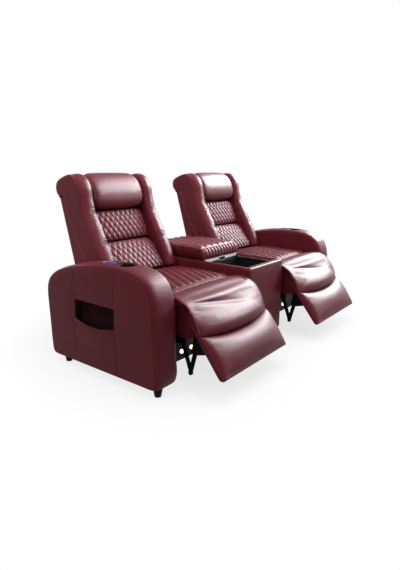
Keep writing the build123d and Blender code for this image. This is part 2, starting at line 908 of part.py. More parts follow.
def back_frame():
    """Timber uprights and rails on steel hinge plates, with the pivot tube between them."""
    rear = rear_plane - panel_skin - moving_gap
    inner = upright_half - upright_thickness
    shaft = rod_x(0, 0, back_tube_radius, -hinge_plate_half, hinge_plate_half)

    def side():
        post = spread(inner, upright_half, bolster_back + moving_gap, rear, pad_bottom + 12,
                      scroll_height - upright_drop)
        face = outline(
            (-hinge_lug, 0),
            ((0, -hinge_lug), (hinge_lug, 0)),
            (hinge_plate_back, 70),
            (hinge_plate_back, hinge_plate_top),
            (hinge_plate_front, hinge_plate_top),
            (-hinge_lug + 4, 18),
        )
        plate = across(face, hinge_plate_half, hinge_plate_half + hinge_plate)
        web = spread(upright_half, hinge_plate_half, hinge_plate_front, hinge_plate_back, 90, hinge_plate_top - 10)
        pin = rod_x(0, 0, back_pin_radius, hinge_plate_half + hinge_plate, side_plate_half + side_plate + 3)
        return group(post, plate + pin, web)

    turned = Pos(back_motor_x, 0, 0) * Rot(back_lug_centre + lean, 0, 0)
    rail_places = [*low_rails, *[(scroll_height - drop, height) for drop, height in high_rails]]
    rails = [spread(-inner, inner, rail_front, rail_front + rail_thickness, h, h + height)
             for h, height in rail_places]
    ear_face = outline(
        (headrest_pivot_b - 9, headrest_pivot_h),
        ((headrest_pivot_b, headrest_pivot_h - 9), (headrest_pivot_b + 9, headrest_pivot_h - 7)),
        (rail_front, headrest_pivot_h - 30),
        (rail_front, headrest_pivot_h + 10),
        ((headrest_pivot_b, headrest_pivot_h + 9), (headrest_pivot_b - 9, headrest_pivot_h)),
    )

    def ear():
        x0 = headrest_half_width + headrest_arm + 2
        plate = across(ear_face, x0, x0 + 4)
        hole = rod_x(headrest_pivot_b, headrest_pivot_h, headrest_pin_radius + running_gap, x0 - 1, x0 + 5)
        return plate - hole

    return on_back(group(both_sides(side), shaft, turned * lug(back_slot) - shaft, both_sides(ear), *rails))


def wing_outline():
    """Side view of the back: rolled front edge, scrolled top, lower edge clear of the hinge."""
    top = scroll_height + scroll_radius
    return outline(
        (-96, pad_bottom),
        ((-92, 130), (-70, 230)),
        ((-32, 380), (-32, 490)),
        ((-44, 590), (-8, 672)),
        ((60, top + 5), (scroll_rear, top)),
        ((scroll_rear + scroll_radius, scroll_height), (scroll_rear + 34, scroll_height - 46)),
        (rear_plane, scroll_height - 60),
        (rear_plane, -56),
        (rear_plane - 26, -56),
        ((110, 24), (54, pad_bottom)),
    )


def back_shell():
    """Outer back: two padded wings, the rear panel and the scroll roll across the top."""
    inner = back_half_width - wing_thickness

    def wing():
        slab = across(wing_outline(), inner, back_half_width)
        soft = outline(
            (inner, -120),
            (back_half_width - 6, -120),
            (back_half_width, -100),
            (back_half_width, scroll_height + 30),
            ((back_half_width - 6, scroll_height + 52), (back_half_width - 22, scroll_height + 70)),
            (inner, scroll_height + 70),
        )
        slab = slab & upright(soft, -120, rear_plane + 80)
        plate_outer = hinge_plate_half + hinge_plate + moving_gap
        return slab - spread(inner - 1, plate_outer, -hinge_lug - 10, hinge_plate_back + moving_gap,
                             -60, hinge_plate_top + 1)

    panel = spread(-inner, inner, rear_plane - panel_skin, rear_plane, -56, scroll_height - 30)
    roll = rod_x(scroll_rear, scroll_height, scroll_radius, -inner, inner)
    roll = roll & spread(-inner, inner, scroll_rear - scroll_radius, scroll_rear + scroll_radius,
                         scroll_height - 40, scroll_height + 60)
    return on_back(group(both_sides(wing), panel, roll))


def bolsters():
    """Two side bolsters: full chest roll, drawn in at the waist, fuller again at the hip."""
    outer = back_half_width - wing_thickness - moving_gap
    side_view = outline(
        (60, pad_bottom),
        (-94, pad_bottom),
        ((-96, 150), (-86, 232)),
        ((-62, 350), (-28, 440)),
        ((-38, 560), (-14, 655)),
        ((30, 688), (bolster_back, 655)),
        (bolster_back, 400),
    )

    def one():
        body = across(side_view, bolster_inner, outer)
        rounding = outline(
            (bolster_inner, 100),
            (bolster_inner, -50),
            ((bolster_inner + 6, -74), (bolster_inner + 22, -92)),
            ((bolster_inner + 38, -99), (outer, -92)),
            (outer, 100),
        )
        return body & extrude(rounding, amount=800)

    return on_back(both_sides(one))


def lumbar(low, high, front_low, front_high):
    """Quilted pad between two heights; its face slopes from front_low up to front_high."""
    length = math.hypot(high - low, front_high - front_low)
    slope = math.degrees(math.atan2(front_high - front_low, high - low))
    half = lumbar_half_width
    deep = 230             # taken well behind the pad, and trimmed at the rails
    pillow = quilted(2 * half, length + 120, deep, lumbar_diamond_x, lumbar_diamond_y, lumbar_puff)
    edge = 16
    end_view = outline(
        (-half, -deep),
        (-half, -edge),
        ((-half + edge * 0.3, -edge * 0.3), (-half + edge, 1)),
        ((0, lumbar_puff + 4), (half - edge, 1)),
        ((half - edge * 0.3, -edge * 0.3), (half, -edge)),
        (half, -deep),
    )
    side_view = outline(
        (-length / 2 - 60, -deep),
        (-length / 2, -edge),
        ((-length / 2 + edge * 0.3, -edge * 0.3), (-length / 2 + edge, 1)),
        ((0, lumbar_puff + 3), (length / 2 - edge, 1)),
        ((length / 2 - edge * 0.3, -edge * 0.3), (length / 2, -edge)),
        (length / 2 + 60, -deep),
    )
    pad = pillow & upright(end_view, -length, length) & across(side_view, -half, half)
    middle_b = (front_low + front_high) / 2
    middle_h = (low + high) / 2
    pad = Pos(0, middle_b, middle_h) * Rot(90 - slope, 0, 0) * pad
    pad = pad & spread(-half, half, -200, rail_front - moving_gap, low, high)
    return on_back(pad)


def headrest_pad():
    """Smooth pillow that turns about the centre of its rounded lower edge."""
    b = headrest_pivot_b
    h = headrest_pivot_h
    r = headrest_round
    side_view = outline(
        (b + r, h),
        ((b, h - r), (b - r, h)),
        ((b - r - 10, h + 56), (b - r + 16, h + 112)),
        ((b + 6, headrest_top - 4), (b + r - 6, headrest_top)),
        ((b + r, headrest_top - 3), (b + r + 2, headrest_top - 12)),
        (b + r, h),
    )
    half = headrest_half_width
    plan = outline(
        (-half + 4, b + r + 4),
        ((-half, b), (-half + 8, b - 24)),
        ((0, b - r - 14), (half - 8, b - 24)),
        ((half, b), (half - 4, b + r + 4)),
    )
    pillow = across(side_view, -half, half) & extrude(Pos(0, 0, h - 60) * plan, amount=300)
    face_view = outline(
        (-half, h - r - 2),
        (-half, headrest_top - 60),
        ((-half + 16, headrest_top - 18), (-half + 60, headrest_top - 4)),
        ((0, headrest_top + 1), (half - 60, headrest_top - 4)),
        ((half - 16, headrest_top - 18), (half, headrest_top - 60)),
        (half, h - r - 2),
    )
    return on_back(pillow & upright(face_view, -60, b + r + 10))


def headrest_hinge():
    """Steel plate behind the pillow, two arms down its sides and the hinge pins."""
    b = headrest_pivot_b
    h = headrest_pivot_h
    back = b + headrest_round + 2.3
    x0 = headrest_half_width + moving_gap
    plate = spread(-x0 - headrest_arm, x0 + headrest_arm, back, back + 3, h + 20, h + 90)

    def arm_and_pin():
        arm_face = outline(
            (b - 8, h),
            ((b, h - 8), (b + 8, h - 2)),
            (back + 3, h + 20),
            (back + 3, h + 90),
            (back - 6, h + 90),
            (b - 6, h + 6),
        )
        arm_plate = across(arm_face, x0, x0 + headrest_arm)
        pin = rod_x(b, h, headrest_pin_radius, x0, x0 + headrest_arm + 9)
        return arm_plate + pin

    left_and_right = both_sides(arm_and_pin)
    return on_back(left_and_right + plate)


# ---- write every piece ------------------------------------------------------------------
def write(name, shape):
    moved = Pos(0, -plan_centre_y, 0) * shape
    moved.label = name
    export_step(moved, os.path.join("parts", name + ".step"))


def write_seat(side_name, x):
    pieces = {
        "base_frame": group(base_frame(), knee_plates()),
        "seat_box": seat_box(),
        "seat_cushion": seat_cushion(),
        "leg_motor": leg_motor(),
        "leg_rod": leg_rod(),
        "crank": crank(),
        "couplers": couplers(),
        "legrest_board": legrest_board(),
        "legrest_brackets": legrest_brackets(),
        "calf_pad": calf_pad(),
        "foot_pad": foot_pad(),
        "back_frame": back_frame(),
        "back_shell": back_shell(),
        "bolsters": bolsters(),
        "upper_lumbar": lumbar(lumbar_split + 4, lumbar_top, 8, 34),
        "lower_lumbar": lumbar(pad_bottom, lumbar_split, -76, 0),
        "headrest_pad": headrest_pad(),
        "headrest_hinge": headrest_hinge(),
        "back_motor": back_motor(),
        "back_rod": back_rod(),
    }
    for name, shape in pieces.items():
        write(side_name + "_" + name, Pos(x, 0, 0) * shape)


def write_arm(side_name, side):
    write(side_name + "_arm", arm(side))
    write(side_name + "_recline_switch", rocker(side, 1))
    write(side_name + "_headrest_switch", rocker(side, -1))


os.makedirs("parts", exist_ok=True)
write_seat("left", -seat_x)
write_seat("right", seat_x)
write_arm("left", -1)
write_arm("right", 1)
write("magazine_pockets", group(pocket_cover(-1), pocket_cover(1)))
write("cup_holders", group(cup_holder(-1), cup_holder(1)))
write("switch_panels", group(switch_panel(-1), switch_panel(1)))
write("lights", group(Pos(-seat_x, 0, 0) * lights(), Pos(seat_x, 0, 0) * lights()))
write("feet", feet())
write("console", console_body())
write("console_liner", console_liner())
write("lid_rails", lid_rails())
write("lid_pad", lid_pad())
write("lid_board", lid_board())
write("lid_trim", lid_trim() + latch_frame())
write("lid_latch", lid_latch())
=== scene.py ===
import json
import math

import bpy
import numpy as np
from mathutils import Matrix, Vector


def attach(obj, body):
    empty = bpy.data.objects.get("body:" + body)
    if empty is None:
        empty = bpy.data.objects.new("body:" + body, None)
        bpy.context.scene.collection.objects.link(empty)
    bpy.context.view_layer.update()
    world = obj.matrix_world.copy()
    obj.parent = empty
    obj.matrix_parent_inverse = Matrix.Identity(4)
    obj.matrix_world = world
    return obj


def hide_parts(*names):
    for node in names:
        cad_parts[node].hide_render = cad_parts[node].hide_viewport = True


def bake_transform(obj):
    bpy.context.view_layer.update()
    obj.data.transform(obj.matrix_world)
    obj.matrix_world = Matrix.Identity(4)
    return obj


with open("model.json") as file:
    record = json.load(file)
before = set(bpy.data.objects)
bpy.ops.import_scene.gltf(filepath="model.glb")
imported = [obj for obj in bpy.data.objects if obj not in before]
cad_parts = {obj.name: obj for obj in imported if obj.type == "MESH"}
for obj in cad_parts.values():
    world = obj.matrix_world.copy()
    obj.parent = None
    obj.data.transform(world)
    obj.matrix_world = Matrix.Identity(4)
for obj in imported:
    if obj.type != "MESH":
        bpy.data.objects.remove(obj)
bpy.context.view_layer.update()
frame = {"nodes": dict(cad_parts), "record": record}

# Shapes are worked out in millimetres, with y = 0 at the arm fronts, and placed in metres. The values to
# change stand in one dictionary before each piece's functions.
seatMiddle = {"left": -548.0, "right": 548.0}
armMiddle = {"left": -962.0, "right": 962.0}
hands = {"left": -1, "right": 1}
planCentre = 350.0
knee = (-32.0, 431.0)         # y and z of the hinge under the waterfall edge
legDrop = math.radians(52)
backPivot = (610.0, 420.0)
backLean = math.radians(17)


def placed(x, y, z):          # millimetres to the frame's metres
    x, y, z = np.broadcast_arrays(np.asarray(x, float), np.asarray(y, float), np.asarray(z, float))
    return np.stack([x, y - planCentre, z], -1) * 0.001


def toSeat(side):             # from the middle plane to a seat's own, in metres
    return placed(seatMiddle[side], planCentre, 0)


def restToSeat(s, n):         # s down the legrest and n out of its face, to y and z
    s, n = np.asarray(s, float), np.asarray(n, float)
    y = knee[0] - math.cos(legDrop) * s - math.sin(legDrop) * n
    z = knee[1] - math.sin(legDrop) * s + math.cos(legDrop) * n
    return y, z


def backToSeat(b, h):         # b behind the back's pivot and h up its lean, to y and z
    b, h = np.asarray(b, float), np.asarray(h, float)
    y = backPivot[0] + b * math.cos(backLean) + h * math.sin(backLean)
    z = backPivot[1] - b * math.sin(backLean) + h * math.cos(backLean)
    return y, z


def lengthAlong(points):
    return np.r_[0, np.cumsum(np.linalg.norm(np.diff(np.asarray(points, float), axis=0), axis=1))]


def chords(points):
    run = lengthAlong(points)
    return run / run[-1]


def sampled(points, run, want):
    # every column of the points where the length along them is the wanted one
    return np.stack([np.interp(want, run, points[:, k]) for k in range(points.shape[1])], -1)


def evenPolygon(points, count):
    # the closed polygon through the points, at equal steps
    closed = np.concatenate([points, points[:1]])
    run = lengthAlong(closed)
    return sampled(closed, run, np.linspace(0, run[-1], count, endpoint=False))


def lineThrough(points, t, run=None):
    # a cubic through every point, its slope at each the mean of its neighbours', t by chord length
    p = np.asarray(points, float)
    run = chords(p) if run is None else run
    slope = np.gradient(p, run, axis=0)
    t = np.clip(np.asarray(t, float), 0, 1)
    k = np.clip(np.searchsorted(run, t, side="right") - 1, 0, len(p) - 2)
    h = (run[k + 1] - run[k])[..., None]
    f = (t - run[k])[..., None] / h
    return ((2 * f**3 - 3 * f**2 + 1) * p[k] + (f**3 - 2 * f**2 + f) * h * slope[k]
            + (3 * f**2 - 2 * f**3) * p[k + 1] + (f**3 - f**2) * h * slope[k + 1])


def evenly(points, count):
    # the same curve, its points at equal steps of length
    fine = lineThrough(points, np.linspace(0, 1, 900))
    run = lengthAlong(fine)
    return sampled(fine, run, np.linspace(0, run[-1], count))


def loopThrough(points, count):
    # closed curve through the points, at equal steps: the middle one of three turns
    p = np.asarray(points, float)
    three = np.concatenate([p, p, p, p[:1]])
    run = lengthAlong(three)
    steps = 3000
    start, stop = (int(steps * run[turns * len(p)] / run[-1]) for turns in (1, 2))
    fine = lineThrough(three, np.linspace(0, 1, steps))[start:stop + 1]
    along = lengthAlong(fine)
    return sampled(fine, along, np.linspace(0, along[-1], count, endpoint=False))


def roundedLoop(corners, radii, count):
    # polygon whose corners are eased by cutting them back a radius and bending through the middle
    p = np.asarray(corners, float)
    before, after = np.roll(p, 1, 0), np.roll(p, -1, 0)
    r = np.broadcast_to(np.asarray(radii, float), len(p))[:, None]
    f = np.linspace(0, 1, 9)[None, :, None]
    a, b = (p + unit(before - p) * r)[:, None], (p + unit(after - p) * r)[:, None]
    arcs = (1 - f)**2 * a + 2 * f * (1 - f) * p[:, None] + f**2 * b
    return evenPolygon(arcs.reshape(-1, p.shape[1]), count)


def roundedBox(x0, x1, y0, y1, radii, count):
    return roundedLoop([(x0, y0), (x1, y0), (x1, y1), (x0, y1)], radii, count)


def unit(vectors):
    return vectors / np.linalg.norm(vectors, axis=-1, keepdims=True)


def leftOf(ahead):
    return np.stack([-ahead[..., 1], ahead[..., 0]], -1)


def bell(x, middle, width):
    return np.exp(-((x - middle) / width) ** 2)


def soft(t):                  # 0 to 1 with level ends
    t = np.clip(t, 0, 1)
    return t * t * (3 - 2 * t)


def roundEdge(t):             # quarter round, 0 at the edge and 1 from t = 1 inwards
    return np.sqrt(np.clip(1 - (1 - np.clip(t, 0, 1)) ** 2, 0, 1))


def crowded(count, pull=0.75):  # 0 to 1 with more steps near both ends
    t = np.linspace(0, 1, count)
    return (1 - pull) * t + pull * (1 - np.cos(np.pi * t)) / 2


def mirrored(count, pull):    # the same from -1 to 1
    return 2 * crowded(count, pull) - 1


def diamonds(p, q, wide, tall, sharp=0.75):
    # product of two arches, one across each of the diamonds' two directions
    a, b = p / wide + q / tall, p / wide - q / tall
    archA = 1 - (2 * (a - np.floor(a)) - 1) ** 2
    archB = 1 - (2 * (b - np.floor(b)) - 1) ** 2
    return np.clip(archA * archB, 0, 1) ** sharp


def quadsOf(index):
    return np.stack([index[:-1, :-1], index[1:, :-1], index[1:, 1:], index[:-1, 1:]], -1).reshape(-1, 4)


def wrapped(index, axis):
    return np.concatenate([index, index.take([0], axis)], axis)


def makePiece(name, points, quads, caps=(), seamsAndShade=None, flat=False):
    # turned inside out where its signed volume is negative
    points = np.asarray(points, float).reshape(-1, 3)
    faces = quads.tolist() + [list(map(int, cap)) for cap in caps]
    a, b, c, d = (points[quads[:, k]] - points.mean(0) for k in range(4))
    volume = np.einsum("ij,ij->", a, np.cross(b, c)) + np.einsum("ij,ij->", a, np.cross(c, d))
    if volume < 0:
        faces = [face[::-1] for face in faces]
    mesh = bpy.data.meshes.new(name)
    mesh.from_pydata(points.tolist(), [], faces)
    mesh.update()
    mesh.polygons.foreach_set("use_smooth", np.full(len(mesh.polygons), not flat))
    # the point attribute holds dark seams and painted shade in creases and valleys, for the leather to darken
    if seamsAndShade is not None:
        shade = np.clip(seamsAndShade, 0, 1).astype(np.float32).reshape(-1)
        mesh.attributes.new("seamsAndShade", "FLOAT", "POINT").data.foreach_set("value", shade)
    piece = bpy.data.objects.new(name, mesh)
    bpy.context.scene.collection.objects.link(piece)
    return piece


def pillow(name, front, back, seamsAndShade=None):
    # two sheets on one grid, joined round their border
    rows, columns = front.shape[:2]
    face = np.arange(rows * columns).reshape(rows, columns)
    rear = face.copy()
    rear[1:-1, 1:-1] = rows * columns + np.arange((rows - 2) * (columns - 2)).reshape(rows - 2, -1)
    points = np.concatenate([front.reshape(-1, 3), back[1:-1, 1:-1].reshape(-1, 3)])
    quads = np.concatenate([quadsOf(face), quadsOf(rear)[:, ::-1]])
    if seamsAndShade is not None:
        seamsAndShade = np.r_[np.broadcast_to(seamsAndShade, (rows, columns)).reshape(-1), np.zeros(len(points) - face.size)]
    return makePiece(name, points, quads, seamsAndShade=seamsAndShade)


def rings(name, grid, seamsAndShade=None, flat=False, hollow=False):
    # closed rings one after another, with a face over the first and the last, or, if hollow, these two joined
    index = np.arange(grid[..., 0].size).reshape(grid.shape[:2])
    quads = quadsOf(wrapped(wrapped(index, 0) if hollow else index, 1))
    caps = () if hollow else (index[0], index[-1][::-1])
    seamsAndShade = None if seamsAndShade is None else np.broadcast_to(seamsAndShade, index.shape)
    return makePiece(name, grid, quads, caps, seamsAndShade, flat)


def shrunk(loop, middle, distance):
    # the outline drawn in by a distance at its widest and at its highest
    reach = np.abs(loop - middle).max(0)
    return middle + (loop - middle) * (1 - distance / reach)


def drum(name, loop, rows, place, centre=None, hollow=False):
    # an outline's rings, each drawn in, shrunk towards the centre and set across by its row's three numbers
    middle = (loop.min(0) + loop.max(0)) / 2 if centre is None else np.asarray(centre, float)
    layers = np.stack([middle + k * (shrunk(loop, middle, d) - middle) for d, k, _ in rows])
    across = np.array([x for _, _, x in rows])[:, None]
    grid = place(np.broadcast_to(across, layers.shape[:2]), layers[..., 0], layers[..., 1])
    return rings(name, grid, hollow=hollow)


def tube(name, path, radius, sideways, sides=8):
    # a circle carried along a path, square to it
    ahead = unit(np.gradient(path, axis=0))
    side = unit(np.cross(ahead, sideways))
    up = np.cross(side, ahead)
    turn = np.linspace(0, 2 * np.pi, sides, endpoint=False)[None, :, None]
    ring = np.cos(turn) * side[:, None] + np.sin(turn) * up[:, None]
    return rings(name, path[:, None] + radius * ring)


def stitches(name, path, pitch, length, radius, outwards, slant=0.0):
    # one small spindle at every pitch along the path; slant turns them in turn left and right
    run = lengthAlong(path)
    count = max(2, int(run[-1] / pitch))
    want = (np.arange(count) + 0.5) * run[-1] / count
    at = sampled(path, run, want)
    ahead = unit(sampled(np.gradient(path, run, axis=0), run, want))
    up = np.broadcast_to(np.asarray(outwards, float), at.shape)
    side = unit(np.cross(ahead, up))
    lean = (np.where(np.arange(count) % 2, 1, -1) * slant)[:, None]
    thread = np.cos(lean) * ahead + np.sin(lean) * side
    across = np.cross(up, thread)
    t = np.array([-0.5, -0.4, -0.2, 0.2, 0.4, 0.5])[:, None, None, None]
    thick = np.array([0.15, 0.7, 1, 1, 0.7, 0.15])[:, None, None, None]
    turn = np.linspace(0, 2 * np.pi, 6, endpoint=False)[:, None, None]
    ring = np.cos(turn) * across + 0.8 * np.sin(turn) * up
    grid = np.moveaxis(at + t * length * thread + radius * thick * ring, 2, 0)          # stitch, step, turn
    index = np.arange(grid[..., 0].size).reshape(grid.shape[:3])
    quads = np.concatenate([quadsOf(wrapped(one, 1)) for one in index])
    return makePiece(name, grid, quads, caps=[*index[:, 0], *index[:, -1, ::-1]])


filling = {"pressure": 4.0, "frames": 20, "slack": -0.004, "mass": 0.3, "easing": 6}


def spread(grid, rows, columns):
    # a coarse grid of moves carried smoothly to a finer one, first down and then across
    for count in (rows, columns):
        start = len(grid)
        grid = lineThrough(grid.reshape(start, -1), np.linspace(0, 1, count), np.linspace(0, 1, start))
        grid = np.moveaxis(grid.reshape(count, -1, 3), 0, 1)
    return grid


def swelling(piece, shape, held, cap):
    # cloth filled with air for some frames, where held is true it stays; the moves of its first grid,
    # eased so that none is longer than the cap
    group = piece.vertex_groups.new(name="held")
    group.add([int(k) for k in np.flatnonzero(held)], 1.0, "REPLACE")
    cloth = piece.modifiers.new("cloth", "CLOTH")
    values = cloth.settings
    values.quality, values.mass = 6, filling["mass"]
    values.use_pressure, values.uniform_pressure_force = True, filling["pressure"]
    values.shrink_min = filling["slack"]
    values.vertex_group_mass = "held"
    values.effector_weights.gravity = 0
    cloth.point_cache.frame_end = filling["frames"]
    scene = bpy.context.scene
    for frameNumber in range(1, filling["frames"] + 1):
        scene.frame_set(frameNumber)
    before, after = np.empty((2, len(piece.data.vertices) * 3))
    piece.data.vertices.foreach_get("co", before)
    shown = piece.evaluated_get(bpy.context.evaluated_depsgraph_get())
    shown.data.vertices.foreach_get("co", after)
    moves = (after - before).reshape(-1, 3)[:shape[0] * shape[1]].reshape(*shape, 3)
    scene.frame_set(1)
    print(piece.name, "swelled by up to", round(float(np.linalg.norm(moves, axis=2).max()) * 1000, 1), "mm")
    bpy.data.objects.remove(piece)
    size = np.linalg.norm(moves, axis=2, keepdims=True)
    moves = moves * cap / (cap + size)
    for _ in range(filling["easing"]):          # sharp wrinkles eased, the border left alone
        inner = (moves[:-2, 1:-1] + moves[2:, 1:-1] + moves[1:-1, :-2] + moves[1:-1, 2:]) / 4
        moves[1:-1, 1:-1] = (moves[1:-1, 1:-1] + inner) / 2
    return moves


def sheetMoves(sheets, rows, columns, fine, cap):
    # for a pad of two sheets: its border and its back are held
    front, back, _ = sheets(rows, columns)
    border = np.ones((rows, columns), bool)
    border[1:-1, 1:-1] = False
    held = np.r_[border.reshape(-1), np.ones((rows - 2) * (columns - 2), bool)]
    return spread(swelling(pillow("settling", front, back), (rows, columns), held, cap), *fine)


def ringMoves(surface, rows, around, fine, cap):
    # for a closed roll: its ends and the side it rests on are held
    grid, _, rests = surface(rows, around)
    held = np.broadcast_to(rests, (rows, around)).copy()
    held[:3], held[-3:] = True, True
    moves = swelling(rings("settling", grid), (rows, around), held.reshape(-1), cap)
    return spread(np.concatenate([moves, moves[:, :1]], 1), fine[0], fine[1] + 1)[:, :-1]


# two places on either side of each joint, the legrest's and the back's, that a cover crossing it lies between
bendAt = {"legrest": (placed(0, *restToSeat(-38, 10)).tolist(), placed(0, *restToSeat(46, 10)).tolist()),
          "back": (placed(0, 566, 445).tolist(), placed(0, 646, 445).tolist())}


def dress(piece, finish, body="body", bends=None, replaces=()):
    # material, what the piece moves with (one given bends is baked where it stands instead) and the nodes it
    # stands for
    if finish:
        piece.data.materials.append(finishes[finish])
    if bends:
        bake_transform(piece)
    else:
        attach(piece, body)
    if replaces:
        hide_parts(*replaces)
    return piece


def node(tree, kind, **values):
    # new nodes stand in columns of three
    made = tree.nodes.new(kind)
    made.location = (240 * (len(tree.nodes) // 3), -280 * (len(tree.nodes) % 3))
    for key, value in values.items():
        setattr(made, key, value)
    return made


def putIn(socket, value):
    # an output is linked to the input, and any other value is written into it
    if isinstance(value, bpy.types.NodeSocket):
        socket.id_data.links.new(value, socket)
    elif value is not None:
        socket.default_value = value


def fed(made, **values):
    for key, value in values.items():
        putIn(made.inputs[key.replace("_", " ")], value)
    return made


def effect(name, inputs, outputs):
    tree = bpy.data.node_groups.new(name, "ShaderNodeTree")
    for label, value in inputs.items():
        tree.interface.new_socket(label, in_out="INPUT", socket_type="NodeSocketFloat").default_value = value
    for label in outputs:
        tree.interface.new_socket(label, in_out="OUTPUT", socket_type="NodeSocketFloat")
    return tree, node(tree, "NodeGroupInput").outputs, node(tree, "NodeGroupOutput")


def calculate(tree, operation, a, b=None, c=None, clamp=False):
    made = node(tree, "ShaderNodeMath", operation=operation, use_clamp=clamp)
    for socket, value in zip(made.inputs, (a, b, c)):
        putIn(socket, value)
    return made.outputs[0]


def mixColour(tree, factor, a, b):
    made = node(tree, "ShaderNodeMix", data_type="RGBA")
    for k, value in ((0, factor), (6, a), (7, b)):
        putIn(made.inputs[k], (*value, 1) if isinstance(value, tuple) else value)
    return made.outputs[2]


def objectPlace(tree):
    return node(tree, "ShaderNodeTexCoord").outputs["Object"]


def noise(tree, place, **values):
    return fed(node(tree, "ShaderNodeTexNoise"), Vector=place, **values).outputs[0]


def bump(tree, height, strength, distance, **more):
    made = node(tree, "ShaderNodeBump")
    return fed(made, Height=height, Strength=strength, Distance=distance, **more).outputs[0]


def grainEffect():
    # pebbles from cell edges, creases where a noise passes its middle, and a slow change of tone
    tree, given, out = effect("leatherGrain", {"Pebbles": 620.0, "Creases": 46.0, "Crease depth": 0.5},
                              ("Height", "Tone"))
    place = objectPlace(tree)
    cells = node(tree, "ShaderNodeTexVoronoi", feature="DISTANCE_TO_EDGE")
    fed(cells, Vector=place, Scale=given["Pebbles"])
    fine = noise(tree, place, Scale=210.0, Detail=3.0)
    crease = noise(tree, place, Scale=given["Creases"], Detail=4.0, Distortion=1.6)
    slow = noise(tree, place, Scale=4.2, Detail=2.0)
    pebble = calculate(tree, "MINIMUM", calculate(tree, "MULTIPLY", cells.outputs["Distance"], 5.0), 1.0)
    ridge = calculate(tree, "ABSOLUTE", calculate(tree, "SUBTRACT", crease, 0.5))
    line = calculate(tree, "MINIMUM", calculate(tree, "MULTIPLY", ridge, 14.0), 1.0)
    line = calculate(tree, "MULTIPLY", line, given["Crease depth"])
    height = calculate(tree, "MULTIPLY_ADD", pebble, 0.55, line)
    fed(out, Height=calculate(tree, "MULTIPLY_ADD", fine, 0.5, height),
        Tone=calculate(tree, "MULTIPLY_ADD", slow, 0.75, calculate(tree, "MULTIPLY", fine, 0.25)))
    return tree


def scuffEffect():
    # long thin scratches from a noise stretched one way, broken up by a second one
    tree, given, out = effect("scuffs", {"Scale": 30.0, "Amount": 0.5}, ("Mask", "Height"))
    place = objectPlace(tree)
    turn = fed(node(tree, "ShaderNodeMapping"), Vector=place, Scale=(1.0, 9.0, 4.0), Rotation=(0.4, 0.2, 0.6))
    thin = noise(tree, turn.outputs[0], Scale=given["Scale"], Detail=6.0, Roughness=0.7)
    patch = noise(tree, place, Scale=11.0, Detail=2.0)
    mask = calculate(tree, "MULTIPLY", calculate(tree, "MULTIPLY", thin, patch), given["Amount"])
    fed(out, Mask=mask, Height=thin)
    return tree


def material(name, **values):
    made = bpy.data.materials.new(name)
    made.use_nodes = True
    return made, made.node_tree, fed(made.node_tree.nodes["Principled BSDF"], **values)


def leather(name, values):
    # a mesh's point attribute darkens its seams and paints shade into its creases, quilt valleys and
    # recesses; the grain's bump stands on a slow swell
    made, tree, shader = material(name, Coat_Weight=values["coat"], Coat_Roughness=0.34,
                                  Specular_IOR_Level=values["shine"], Specular_Tint=values["tint"])
    grain = fed(node(tree, "ShaderNodeGroup", node_tree=effects["grain"]), Pebbles=values["pebbles"],
                Creases=values["creases"], Crease_depth=values["creaseDepth"]).outputs
    tone = calculate(tree, "MULTIPLY_ADD", grain["Tone"], 1.7, -0.35, True)
    base = mixColour(tree, tone, values["deep"], values["pale"])
    seamsAndShade = node(tree, "ShaderNodeAttribute", attribute_name="seamsAndShade").outputs["Fac"]
    base = mixColour(tree, calculate(tree, "MULTIPLY", seamsAndShade, values["seamsAndShadeStrength"]), base, values["seam"])
    swell = noise(tree, objectPlace(tree), Scale=values["swell"], Detail=2.0)
    fed(shader, Base_Color=base,
        Roughness=calculate(tree, "MULTIPLY_ADD", grain["Tone"], 0.16, values["rough"] - 0.08),
        Normal=bump(tree, grain["Height"], 0.55, values["depth"],
                    Normal=bump(tree, swell, 0.5, values["swellDepth"])))
    return made


def metal(name, colour, worn, rough, amount, scale=30.0, metallic=1.0, shine=0.5):
    made, tree, shader = material(name, Metallic=metallic, Specular_IOR_Level=shine)
    scuffs = node(tree, "ShaderNodeGroup", node_tree=effects["scuffs"])
    scuffs = fed(scuffs, Scale=scale, Amount=amount).outputs
    fed(shader, Base_Color=mixColour(tree, scuffs["Mask"], colour, worn),
        Roughness=calculate(tree, "MULTIPLY_ADD", scuffs["Height"], 0.25, rough - 0.12),
        Normal=bump(tree, scuffs["Height"], 0.2, 0.0003))
    return made


def moulded(name, colour, rough, texture=900.0, depth=0.0002, coat=0.0, shine=0.5):
    # plastic with a fine spark-eroded texture
    made, tree, shader = material(name, Coat_Weight=coat, Coat_Roughness=0.12, Specular_IOR_Level=shine)
    place = objectPlace(tree)
    wide = noise(tree, place, Scale=9.0, Detail=3.0)
    lighter = tuple(min(1.0, c * 1.5 + 0.004) for c in colour)
    fed(shader, Base_Color=mixColour(tree, wide, colour, lighter),
        Roughness=calculate(tree, "MULTIPLY_ADD", wide, 0.14, rough - 0.07),
        Normal=bump(tree, noise(tree, place, Scale=texture, Detail=2.0), 0.35, depth))
    return made


def timber(name, pale, dark):
    # growth lines along X from a stretched and bent noise
    made, tree, shader = material(name, Roughness=0.62)
    stretch = fed(node(tree, "ShaderNodeMapping"), Vector=objectPlace(tree), Scale=(0.7, 5.0, 9.0))
    lines = noise(tree, stretch.outputs[0], Scale=14.0, Detail=7.0, Distortion=0.6)
    fed(shader, Base_Color=mixColour(tree, lines, pale, dark), Normal=bump(tree, lines, 0.3, 0.0006))
    return made


def glowing(name, colour, strength):
    # lit lens with a moulded ripple
    made, tree, shader = material(name, Roughness=0.2, Emission_Strength=strength, Base_Color=(*colour, 1))
    cells = fed(node(tree, "ShaderNodeTexVoronoi"), Vector=objectPlace(tree), Scale=420.0)
    ripple = cells.outputs["Distance"]
    fed(shader, Emission_Color=mixColour(tree, ripple, colour, tuple(0.75 * c for c in colour)),
        Normal=bump(tree, ripple, 0.4, 0.0005))
    return made
